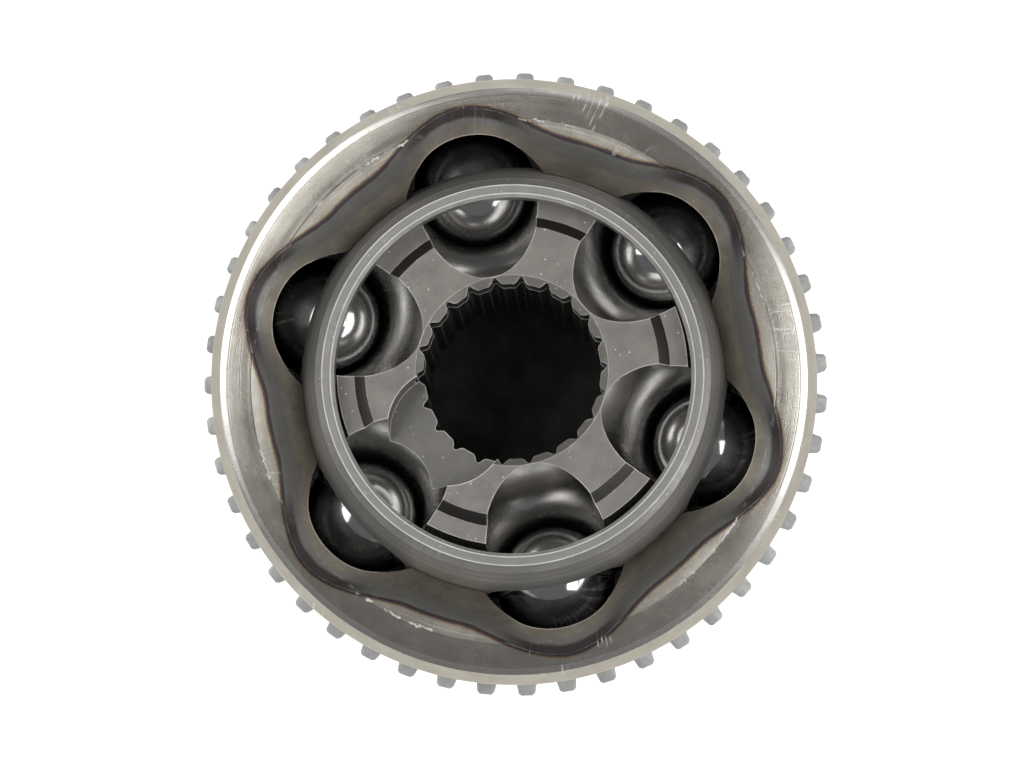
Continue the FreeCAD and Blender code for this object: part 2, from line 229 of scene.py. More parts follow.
@dataclass
class Stock:
    """A bmesh in millimetres whose faces carry finishes from one list.

    Attributes:
        name: Name of the piece that it becomes.
        surfaces: The finishes, in the order of the piece's material slots.
    """

    name: str
    surfaces: Sequence[Surface]
    mesh: bmesh.types.BMesh = field(default_factory=bmesh.new)

    def paint_new(self, known: set, surface: Surface) -> None:
        """Give every face that is not in known one finish."""
        index = self.surfaces.index(surface)
        for face in self.mesh.faces:
            if face not in known:
                face.material_index = index

    def turn(self, profile: Sequence[tuple], steps: int) -> "Stock":
        """Spin a profile round Z and give each strip the finish of its run.

        Args:
            profile: (radius, height, surface) corners; a surface covers the run that starts there.
            steps: Steps in the full turn.

        Returns:
            This stock.
        """
        mesh = self.mesh
        corners = [mesh.verts.new((radius, 0.0, height)) for radius, height, _ in profile]
        runs = [mesh.edges.new(pair) for pair in zip(corners, corners[1:])]
        bmesh.ops.spin(
            mesh, geom=corners + runs, cent=ORIGIN, axis=AXIS_Z, angle=FULL_TURN, steps=steps,
            use_merge=True, use_duplicate=False,
        )
        finishes = {
            frozenset((_corner_key(*here[:2]), _corner_key(*there[:2]))): here[2]
            for here, there in zip(profile, profile[1:])
        }
        for face in mesh.faces:
            corner_keys = frozenset(_corner_key(vert.co.xy.length, vert.co.z) for vert in face.verts)
            face.material_index = self.surfaces.index(finishes[corner_keys])
        bmesh.ops.remove_doubles(mesh, verts=mesh.verts[:], dist=WELD)
        bmesh.ops.dissolve_degenerate(mesh, edges=mesh.edges[:], dist=NO_EDGE)
        bmesh.ops.recalc_face_normals(mesh, faces=mesh.faces[:])
        return self

    def tube(self, height: float, start: float, end: float, surface: Surface, steps: int) -> "Stock":
        """Sweep a ball groove's round section about a point on the axis, in the XZ plane.

        Args:
            height: Height of the point that the groove turns about.
            start: Angle above the mid plane where the groove starts.
            end: Angle where it ends.
            surface: Finish of the groove.
            steps: Steps of the sweep.

        Returns:
            This stock.
        """
        known = set(self.mesh.faces)
        ring = bmesh.ops.create_circle(self.mesh, cap_ends=True, segments=72, radius=RUN.groove_radius)
        place = (
            Matrix.Translation((0.0, 0.0, height))
            @ Matrix.Rotation(-start, 4, "Y")
            @ Matrix.Translation((RUN.track_radius, 0.0, 0.0))
        )
        bmesh.ops.transform(self.mesh, matrix=place, verts=ring["verts"])
        caps = [face for face in self.mesh.faces if face not in known]
        bmesh.ops.spin(
            self.mesh, geom=caps + ring["verts"], cent=(0.0, 0.0, height), axis=AXIS_Y,
            angle=start - end, steps=steps, use_duplicate=False,
        )
        self.paint_new(known, surface)
        bmesh.ops.recalc_face_normals(self.mesh, faces=self.mesh.faces[:])
        return self

    def sphere(self, radius: float, centre: Vector, surface: Surface, steps: int) -> "Stock":
        """Add a ball.

        Args:
            radius: Its radius.
            centre: Its centre.
            surface: Its finish.
            steps: Steps round it.

        Returns:
            This stock.
        """
        known = set(self.mesh.faces)
        made = bmesh.ops.create_uvsphere(
            self.mesh, u_segments=steps, v_segments=steps // 2, radius=radius,
        )
        bmesh.ops.translate(self.mesh, verts=made["verts"], vec=centre)
        self.paint_new(known, surface)
        return self

    def rod(self, radius: float, low: Vector, high: Vector, surface: Surface, steps: int) -> "Stock":
        """Add a capped cylinder between two points.

        Args:
            radius: Its radius.
            low: Middle of one end.
            high: Middle of the other.
            surface: Its finish.
            steps: Steps round it.

        Returns:
            This stock.
        """
        known = set(self.mesh.faces)
        run = high - low
        place = Matrix.Translation((low + high) / 2.0) @ run.to_track_quat("Z", "Y").to_matrix().to_4x4()
        bmesh.ops.create_cone(
            self.mesh, cap_ends=True, segments=steps, radius1=radius, radius2=radius,
            depth=run.length, matrix=place,
        )
        self.paint_new(known, surface)
        return self

    def prism(self, corners: Iterable[Vector], rise: float, surface: Surface) -> list:
        """Raise a flat outline along Z.

        Args:
            corners: Corners of the outline.
            rise: How far it is raised.
            surface: Finish of the prism.

        Returns:
            The raised vertices.
        """
        known = set(self.mesh.faces)
        base = self.mesh.faces.new([self.mesh.verts.new(corner) for corner in corners])
        raised = bmesh.ops.extrude_face_region(self.mesh, geom=[base])
        top = [item for item in raised["geom"] if isinstance(item, bmesh.types.BMVert)]
        bmesh.ops.translate(self.mesh, verts=top, vec=(0.0, 0.0, rise))
        self.paint_new(known, surface)
        return top

    def as_object(self) -> Object:
        """Return the mesh as a scene object in millimetres, and free the bmesh."""
        bmesh.ops.recalc_face_normals(self.mesh, faces=self.mesh.faces[:])
        data = bpy.data.meshes.new(self.name)
        self.mesh.to_mesh(data)
        self.mesh.free()
        for surface in self.surfaces:
            data.materials.append(finish(surface))
        return put_in_scene(self.name, data)


def combine(base: Object, others: Sequence[Object], how: Joining) -> Object:
    """Cut solids out of a solid or add them to it, keeping the finish of every wall that is left.

    Args:
        base: The solid to work on.
        others: What is cut away or added; each is deleted afterwards.
        how: Whether to cut or to add.

    Returns:
        The combined solid.
    """
    for other in others:
        step = base.modifiers.new(how.name, "BOOLEAN")
        step.operation = how.value
        step.solver = "MANIFOLD"
        step.material_mode = "INDEX"
        step.object = other
    seen = bpy.context.evaluated_depsgraph_get()
    result = bpy.data.meshes.new_from_object(base.evaluated_get(seen))
    base.modifiers.clear()
    base.data = result
    for other in others:
        bpy.data.objects.remove(other)
    return base


def finish_piece(
    piece: Object, body: str, nodes: Sequence[str],
    lean: float = 0.0, sharp: float = math.radians(28.0),
) -> Object:
    """Lean a piece, scale it to metres, shade it and hang it on its body.

    Args:
        piece: The finished solid, in millimetres.
        body: The moving body that carries it.
        nodes: Plain solids that it stands for.
        lean: How far it leans towards +Y at rest.
        sharp: Edges turning more than this stay sharp.

    Returns:
        The piece.
    """
    data = piece.data
    data.transform(Matrix.Scale(MM, 4) @ Matrix.Rotation(-lean, 4, "X"))
    mesh = bmesh.new()
    mesh.from_mesh(data)
    bmesh.ops.remove_doubles(mesh, verts=mesh.verts[:], dist=WELD * MM)
    bmesh.ops.dissolve_degenerate(mesh, edges=mesh.edges[:], dist=WELD * MM)
    mesh.to_mesh(data)
    mesh.free()
    data.shade_smooth()
    data.set_sharp_from_angle(angle=sharp)
    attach(piece, body)
    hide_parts(*nodes)
    log.info("%s: %d faces on %s", piece.name, len(data.polygons), body)
    return piece


# --- shader building blocks --------------------------------------------------------------------


class Nodes:
    """A small hand for wiring shader nodes."""

    def __init__(self, tree: NodeTree) -> None:
        """Work in one node tree."""
        self.tree = tree

    @classmethod
    def fresh(cls, owner: bpy.types.Material | bpy.types.World) -> "Nodes":
        """Work in the emptied node tree of a material or a world."""
        owner.use_nodes = True
        owner.node_tree.nodes.clear()
        return cls(owner.node_tree)

    def add(self, kind: str, feeds: dict[str | int, Feed] | None = None, **settings: object) -> Node:
        """Add a node, set its properties and feed its inputs, which go by name or number."""
        node = self.tree.nodes.new(kind)
        for key, value in settings.items():
            setattr(node, key, value)
        for key, value in (feeds or {}).items():
            self.feed(node.inputs[key], value)
        return node

    def feed(self, socket: Socket, value: Feed) -> None:
        """Link an output to an input socket, or set the input to a plain value."""
        if isinstance(value, Socket):
            self.tree.links.new(value, socket)
        else:
            socket.default_value = value

    def math(
        self, operation: str, first: Feed, second: Feed = 0.0, third: Feed = 0.0, clamp: bool = False,
    ) -> Socket:
        """Return the output of a Math node."""
        feeds = {0: first, 1: second, 2: third}
        return self.add("ShaderNodeMath", feeds, operation=operation, use_clamp=clamp).outputs[0]

    def remap(
        self, value: Feed, low: Feed, high: Feed, to_low: Feed = 0.0, to_high: Feed = 1.0,
        smooth: bool = False,
    ) -> Socket:
        """Return a value mapped from one range to another, clamped."""
        feeds = {0: value, 1: low, 2: high, 3: to_low, 4: to_high}
        way = "SMOOTHSTEP" if smooth else "LINEAR"
        return self.add("ShaderNodeMapRange", feeds, clamp=True, interpolation_type=way).outputs[0]

    def mix(self, share: Feed, first: Feed, second: Feed) -> Socket:
        """Return two colours mixed by a share."""
        return self.add("ShaderNodeMix", {0: share, 6: first, 7: second}, data_type="RGBA").outputs[2]

    def dot(self, first: Socket, second: Feed) -> Socket:
        """Return the dot product of two vectors."""
        node = self.add("ShaderNodeVectorMath", {0: first, 1: second}, operation="DOT_PRODUCT")
        return node.outputs["Value"]

    def noise(self, vector: Socket, scale: Feed, detail: float = 2.0, rough: float = 0.5) -> Socket:
        """Return the value of a 3-D noise."""
        feeds = {"Vector": vector, "Scale": scale, "Detail": detail, "Roughness": rough}
        return self.add("ShaderNodeTexNoise", feeds, noise_dimensions="3D").outputs[0]

    def noise_line(self, along: Socket, detail: float) -> Socket:
        """Return a 1-D noise along a coordinate."""
        feeds = {"W": along, "Scale": 1.0, "Detail": detail}
        return self.add("ShaderNodeTexNoise", feeds, noise_dimensions="1D").outputs[0]

    def place(self, tree: NodeTree, **values: Feed) -> tuple[Socket, ...]:
        """Place a node group, feed its inputs and return its outputs."""
        return tuple(self.add("ShaderNodeGroup", values, node_tree=tree).outputs)

    def seen(self, path: Node) -> Socket:
        """Return 1 for rays that the camera sends, straight or through something clear."""
        return self.math("MAXIMUM", path.outputs["Is Camera Ray"], path.outputs["Is Transmission Ray"])


def rgb(red: float, green: float, blue: float) -> tuple[float, float, float, float]:
    """Return an opaque colour."""
    return (red, green, blue, 1.0)


def shared_group(*outputs: str, **inputs: float) -> Callable:
    """Make a function that wires a node group into one that returns the group, built once.

    Args:
        outputs: Names of the group's outputs, in the order in which the function returns them.
        inputs: Default of each input by its name; every group also has a Vector input.

    Returns:
        The decorator, for functions of a Nodes hand, the group's inputs and any fixed sizes.
    """

    def decorate(wire: Callable[..., Sequence[Socket]]) -> Callable[..., NodeTree]:
        """Return the function that builds the group when it is first asked for."""

        @cache
        def group(*sizes: float) -> NodeTree:
            """Return the group for some fixed sizes."""
            tree = bpy.data.node_groups.new(wire.__name__, "ShaderNodeTree")
            tree.interface.new_socket(name="Vector", in_out="INPUT", socket_type="NodeSocketVector")
            for label, default in inputs.items():
                socket = tree.interface.new_socket(
                    name=label, in_out="INPUT", socket_type="NodeSocketFloat",
                )
                socket.default_value = default
            for label in outputs:
                tree.interface.new_socket(name=label, in_out="OUTPUT", socket_type="NodeSocketFloat")
            hand = Nodes(tree)
            target = hand.add("NodeGroupOutput")
            results = wire(hand, hand.add("NodeGroupInput").outputs, *sizes)
            for label, result in zip(outputs, results):
                hand.feed(target.inputs[label], result)
            return tree

        return group

    return decorate


@shared_group("Radius", "Angle", "Height")
def polar(hand: Nodes, source: Sockets) -> Sequence[Socket]:
    """Radius, angle (0 to a full turn) and height of a point, in millimetres."""
    x, y, z = hand.add("ShaderNodeSeparateXYZ", {0: source["Vector"]}).outputs
    squares = hand.math("MULTIPLY_ADD", y, y, hand.math("MULTIPLY", x, x))
    radius = hand.math("DIVIDE", hand.math("SQRT", squares), MM)
    angle = hand.math("ADD", hand.math("ARCTAN2", y, x), math.pi)
    return radius, angle, hand.math("DIVIDE", z, MM)


@shared_group("Mask", Radius=0.0002, Amount=1.0)
def edge_wear_and_glint(hand: Nodes, source: Sockets) -> Sequence[Socket]:
    """Mask of bright edges, partly rubbed and partly painted edge highlights, where the rounded normal
    leaves the true one.
    """
    rounded = hand.add("ShaderNodeBevel", {"Radius": source["Radius"]}, samples=6).outputs[0]
    true = hand.add("ShaderNodeNewGeometry").outputs["Normal"]
    turn = hand.math("SUBTRACT", 1.0, hand.dot(rounded, true))
    broken = hand.noise(source["Vector"], 700.0, 3.0, 0.6)
    low = hand.remap(broken, 0.3, 0.7, 0.0, 0.09)
    mask = hand.remap(turn, low, hand.math("ADD", low, 0.06))
    return [hand.math("MULTIPLY", mask, source["Amount"])]


@shared_group("Height", "Shade", Pitch=0.2)
def turning(hand: Nodes, source: Sockets) -> Sequence[Socket]:
    """Fine rings left by a lathe tool, as 1-D noises that run outwards and along the axis."""
    vector = source["Vector"]
    radius, _, height = hand.place(polar(), Vector=vector)
    along = hand.math("MULTIPLY_ADD", height, 0.83, radius)
    along = hand.math("MULTIPLY_ADD", hand.noise(vector, 60.0, 1.0), 0.16, along)
    rings = hand.noise_line(hand.math("DIVIDE", along, source["Pitch"]), 4.0)
    broad = hand.noise_line(hand.math("DIVIDE", along, 0.9), 2.0)
    patch = hand.remap(hand.noise(vector, 130.0, 2.0), 0.35, 0.65, 0.45, 1.0)
    shade = hand.math("MULTIPLY_ADD", rings, 0.55, hand.math("MULTIPLY", broad, 0.45))
    return hand.math("MULTIPLY", rings, patch), shade


@shared_group("Height", "Blotch", "GlintSpecks", Scale=3000.0)
def grain(hand: Nodes, source: Sockets) -> Sequence[Socket]:
    """Blasted or sintered grain, as a height, a blotchy shade and a few bright dots that are painted
    glints.
    """
    vector = source["Vector"]
    cells = hand.add("ShaderNodeTexVoronoi", {"Vector": vector, "Scale": 1300.0}, feature="F1")
    dots = hand.remap(cells.outputs["Distance"], 0.20, 0.08)
    rare = hand.remap(cells.outputs["Color"], 0.66, 0.70)
    height = hand.noise(vector, source["Scale"], 3.0, 0.65)
    blotch = hand.remap(hand.noise(vector, 260.0, 4.0, 0.65), 0.32, 0.68)
    return height, blotch, hand.math("MULTIPLY", dots, rare)


@shared_group("Mask")
def scuffs(hand: Nodes, source: Sockets) -> Sequence[Socket]:
    """Mask of thin handling scratches that run across the lathe rings, kept in patches."""
    vector = source["Vector"]
    radius, angle, height = hand.place(polar(), Vector=vector)
    masks = []
    for skew, fineness, low in ((0.004, 95.0, 0.69), (0.006, 60.0, 0.71)):
        bent = hand.math("MULTIPLY_ADD", radius, skew, angle)
        bent = hand.math("MULTIPLY_ADD", height, skew, bent)
        lines = hand.noise_line(hand.math("MULTIPLY", bent, fineness), 0.0)
        lines = hand.remap(lines, low, low + 0.03)
        patch = hand.remap(hand.noise(vector, 95.0 + 500.0 * skew, 3.0, 0.7), 0.58, 0.63)
        masks.append(hand.math("MULTIPLY", lines, patch))
    return [hand.math("MAXIMUM", *masks)]


@shared_group("Mask", Radius=30.0)
def burr_glints(hand: Nodes, source: Sockets) -> Sequence[Socket]:
    """Mask of ragged tool bits along a circle of one radius, painted bright as glints."""
    vector = source["Vector"]
    radius, _, _ = hand.place(polar(), Vector=vector)
    torn_glint = hand.remap(hand.noise(vector, 1500.0, 2.0, 0.7), 0.3, 0.7, -0.22, 0.22)
    off = hand.math("ADD", hand.math("SUBTRACT", radius, source["Radius"]), torn_glint)
    ring = hand.remap(hand.math("ABSOLUTE", off), 0.16, 0.07)
    patch = hand.remap(hand.noise(vector, 62.0, 3.0, 0.75), 0.49, 0.57)
    bits = hand.remap(hand.noise(vector, 900.0, 1.0), 0.45, 0.52)
    return [hand.math("MULTIPLY", ring, hand.math("MULTIPLY", patch, bits))]


@shared_group("Distance", "Lobe")
def mouth_distance(
    hand: Nodes, source: Sockets, land: float, lobe: float, foot: float,
) -> Sequence[Socket]:
    """How far a point lies outside the bell's wavy edge, in millimetres, and its lobe share.

    Args:
        hand: Hand that wires the group.
        source: The group's inputs.
        land: Radius of the edge between the tracks, in millimetres.
        lobe: Radius of the edge over a track.
        foot: Half angle of a lobe at its foot.

    Returns:
        The two sockets.
    """
    radius, angle, _ = hand.place(polar(), Vector=source["Vector"])
    angle = hand.math("ADD", angle, math.pi - RUN.first_track + RUN.step / 2.0)
    angle = hand.math("MODULO", angle, RUN.step)
    off = hand.math("ABSOLUTE", hand.math("SUBTRACT", angle, RUN.step / 2.0))
    share = hand.remap(off, foot, 0.0, smooth=True)
    edge = hand.math("MULTIPLY_ADD", share, lobe - land, land)
    return hand.math("SUBTRACT", radius, edge), share


@dataclass(frozen=True)
class Steel:
    """A steel surface: its colour, gloss, tool marks, grain, rubbed edges, and painted edge highlights and
    glints.

    Attributes:
        colour: Main colour.
        shade: Colour of the darker marks and blotches.
        rub_and_glint: Colour of rubbed edges and scratches, and of the painted edge highlights and glints.
        metal: Metallic share.
        gloss: Roughness where smoothest.
        dull: Roughness where dullest.
        ring_pitch: Spacing of lathe rings, in millimetres.
        ring_bump: Strength of the rings' relief; 0 leaves them out.
        ring_shade: How much the rings darken the colour.
        grain_scale: Fineness of the grain.
        grain_bump: Strength of the grain's relief.
        blotch: How much blotches darken the colour.
        glint_specks: Brightness of the bright dots, painted glints of the grain.
        edge_rub_glint: Amount of bright edges, partly rubbed and partly painted edge highlight.
        edge_rub_glint_radius: Width of a bright edge, in metres.
        scuff: Amount of handling scratches.
        lean: Lean of the piece that the pattern's axis follows.
        rub_glint_gloss: How much smoother rubbed places and painted highlights are.
        rub_glint_matt: Share of the metallic look that rubbed places and painted highlights lose.
        bump_depth: Height of the relief at full strength, in metres.
    """

    colour: tuple
    shade: tuple
    rub_and_glint: tuple = rgb(0.80, 0.78, 0.73)
    metal: float = 1.0
    gloss: float = 0.25
    dull: float = 0.45
    ring_pitch: float = 0.22
    ring_bump: float = 0.0
    ring_shade: float = 0.3
    grain_scale: float = 3000.0
    grain_bump: float = 0.1
    blotch: float = 0.3
    glint_specks: float = 0.0
    edge_rub_glint: float = 0.8
    edge_rub_glint_radius: float = 0.00018
    scuff: float = 0.3
    lean: float = 0.0
    rub_glint_gloss: float = 0.10
    rub_glint_matt: float = 0.75
    bump_depth: float = 0.0001

    def build(self, name: str) -> bpy.types.Material:
        """Make the material.

        Args:
            name: Name of the material.

        Returns:
            The material.
        """
        material = bpy.data.materials.new(name)
        hand = Nodes.fresh(material)
        own = hand.add("ShaderNodeTexCoord").outputs["Object"]
        leaned = {"Vector": own, "Rotation": (self.lean, 0.0, 0.0)}
        vector = hand.add("ShaderNodeMapping", leaned).outputs[0]

        relief, blotch, glint_specks = hand.place(grain(), Vector=vector, Scale=self.grain_scale)
        # Mask of rubbed edges and scratches, with painted edge highlights and glints.
        rub_and_glint = self.rub_and_glint_places(hand, vector)

        colour = hand.mix(hand.math("MULTIPLY", blotch, self.blotch), self.colour, self.shade)
        height = hand.math("MULTIPLY", relief, self.grain_bump)
        if self.ring_bump > 0.0:
            rings, shade = hand.place(turning(), Vector=vector, Pitch=self.ring_pitch)
            dark = hand.remap(shade, 0.40, 0.60, self.ring_shade, 0.0)
            colour = hand.mix(dark, colour, self.shade)
            height = hand.math("MULTIPLY_ADD", rings, self.ring_bump, height)
        colour = self.tint(hand, vector, colour)
        # Painted glints: bright dots of the grain in the pale rubbed tone.
        colour = hand.mix(hand.math("MULTIPLY", glint_specks, self.glint_specks), colour, self.rub_and_glint)
        # Painted highlight: rubbed edges, scratches and edge highlights in the pale rubbed tone.
        colour = hand.mix(rub_and_glint, colour, self.rub_and_glint)
        rough = hand.remap(blotch, 0.0, 1.0, self.gloss, self.dull)
        rough = hand.math("SUBTRACT", rough, hand.math("MULTIPLY", rub_and_glint, self.rub_glint_gloss), clamp=True)
        metal = hand.math("MULTIPLY_ADD", rub_and_glint, -self.rub_glint_matt * self.metal, self.metal)

        bumps = {"Distance": self.bump_depth, "Strength": 1.0, "Height": height}
        shader = hand.add("ShaderNodeBsdfPrincipled", {
            "Base Color": colour, "Roughness": rough, "Metallic": metal,
            "Normal": hand.add("ShaderNodeBump", bumps).outputs[0],
        })
        hand.add("ShaderNodeOutputMaterial", {"Surface": shader.outputs[0]})
        return material

    def rub_and_glint_places(self, hand: Nodes, vector: Socket) -> Socket:
        """Return a mask of rubbed edges with painted edge highlights, and handling scratches."""
        [edges] = hand.place(edge_wear_and_glint(), Vector=vector, Radius=self.edge_rub_glint_radius, Amount=self.edge_rub_glint)
        [scratches] = hand.place(scuffs(), Vector=vector)
        return hand.math("MAXIMUM", edges, hand.math("MULTIPLY", scratches, self.scuff))

    def tint(self, hand: Nodes, vector: Socket, colour: Socket) -> Socket:
        """Return the colour unchanged; a tempered finish adds its tint here."""
        return colour


@dataclass(frozen=True)
class BurrGlintSteel(Steel):
    """Steel with ragged bits left along the step where the facing tool started, painted bright as glints.
    """

    burr_glint: float = 0.9

    def rub_and_glint_places(self, hand: Nodes, vector: Socket) -> Socket:
        """Return the mask with the ragged bits added as painted glints."""
        rub_and_glint = super().rub_and_glint_places(hand, vector)
        [torn_glint] = hand.place(burr_glints(), Vector=vector, Radius=MouthShape().step_radius)
        return hand.math("MAXIMUM", rub_and_glint, hand.math("MULTIPLY", torn_glint, self.burr_glint))

    @staticmethod
    def from_edge(hand: Nodes, vector: Socket) -> tuple[Socket, ...]:
        """Return the distance outside the wavy edge and the lobe share."""
        flare = MouthShape()
        return hand.place(mouth_distance(flare.land_rim, flare.lobe_rim, flare.foot), Vector=vector)


@dataclass(frozen=True)
class OxideSteel(BurrGlintSteel):
    """Flare steel that hardening heat has darkened along the lobes' edges."""

    oxide: tuple = rgb(0.032, 0.026, 0.025)
    width: float = 1.05

    def tint(self, hand: Nodes, vector: Socket, colour: Socket) -> Socket:
        """Return the colour with dark oxide inside the wavy edge of each lobe.

        Args:
            hand: Hand that wires the material.
            vector: Place on the piece.
            colour: Colour without the oxide.

        Returns:
            The darkened colour.
        """
        distance, over_lobe = self.from_edge(hand, vector)
        ragged = hand.math("SUBTRACT", hand.noise(vector, 300.0, 3.0, 0.6), 0.5)
        away = hand.math("MULTIPLY_ADD", ragged, 0.5, distance)
        band = hand.remap(away, -self.width - 0.25, -self.width + 0.15)
        lobe = hand.remap(over_lobe, 0.30, 0.75, 0.0, 0.92)
        lip = hand.remap(away, -0.22, -0.06, 0.0, 0.85)
        share = hand.math("MAXIMUM", hand.math("MULTIPLY", band, lobe), lip)
        return hand.mix(share, colour, self.oxide)


@dataclass(frozen=True)
class TemperedSteel(BurrGlintSteel):
    """Turned steel coloured by hardening heat along the bell's wavy mouth edge, stained by oil in patches,
    and browner near the wavy edge over the lobes.
    """

    amount: float = 0.9
    reach: float = 0.75
    stain: float = 0.62
    brown_tone: tuple = rgb(0.31, 0.265, 0.225)
    violet_tone: tuple = rgb(0.30, 0.255, 0.30)
    temper: tuple = (
        (0.0, rgb(0.03, 0.022, 0.025)), (0.16, rgb(0.06, 0.035, 0.05)), (0.30, rgb(0.11, 0.075, 0.13)),
        (0.45, rgb(0.22, 0.12, 0.06)), (0.68, rgb(0.50, 0.37, 0.17)), (1.0, rgb(0.58, 0.54, 0.44)),
    )

    def tint(self, hand: Nodes, vector: Socket, colour: Socket) -> Socket:
        """Return the colour with oil stains, browner near the lobes' edge, and bands of straw, brown and
        blue outside the edge.

        Args:
            hand: Hand that wires the material.
            vector: Place on the piece.
            colour: Colour of the clean steel.

        Returns:
            The stained and tempered colour.
        """
        distance, over_lobe = self.from_edge(hand, vector)
        colour = self._stained(hand, vector, colour, distance, over_lobe)
        ragged = hand.math("SUBTRACT", hand.noise(vector, 240.0, 4.0, 0.7), 0.5)
        away = hand.math("MULTIPLY_ADD", ragged, 0.35, distance)
        bands = hand.add("ShaderNodeValToRGB", {0: hand.remap(away, 0.0, self.reach)})
        ramp = bands.color_ramp
        ramp.elements[0].color = self.temper[0][1]
        ramp.elements[1].color = self.temper[-1][1]
        for position, tone in self.temper[1:-1]:
            ramp.elements.new(position).color = tone
        share = hand.remap(away, self.reach, 0.4 * self.reach, 0.0, self.amount)
        return hand.mix(share, colour, bands.outputs[0])

    def _stained(
        self, hand: Nodes, vector: Socket, colour: Socket, distance: Socket, over_lobe: Socket,
    ) -> Socket:
        """Return the colour with brown and violet oil stains in patches, and browner and darker near the
        wavy edge over the lobes.

        Args:
            hand: Hand that wires the material.
            vector: Place on the piece.
            colour: Colour of the clean steel.
            distance: Distance outside the wavy edge.
            over_lobe: Lobe share.

        Returns:
            The stained colour.
        """
        # Browner and darker within 3 mm of the wavy edge, over the lobes only.
        near = hand.remap(distance, 3.0, 0.4)
        near = hand.math("MULTIPLY", near, hand.remap(over_lobe, 0.04, 0.5))
        patch = hand.remap(hand.noise(vector, 85.0, 5.0, 0.72), 0.42, 0.60)
        patch = hand.math("MULTIPLY", hand.math("MULTIPLY", patch, self.stain), 0.45)
        violet = hand.remap(hand.noise(vector, 190.0, 3.0, 0.6), 0.50, 0.64)
        tone = hand.mix(violet, self.brown_tone, self.violet_tone)
        return hand.mix(hand.math("MAXIMUM", hand.math("MULTIPLY", near, 0.30), patch), colour, tone)


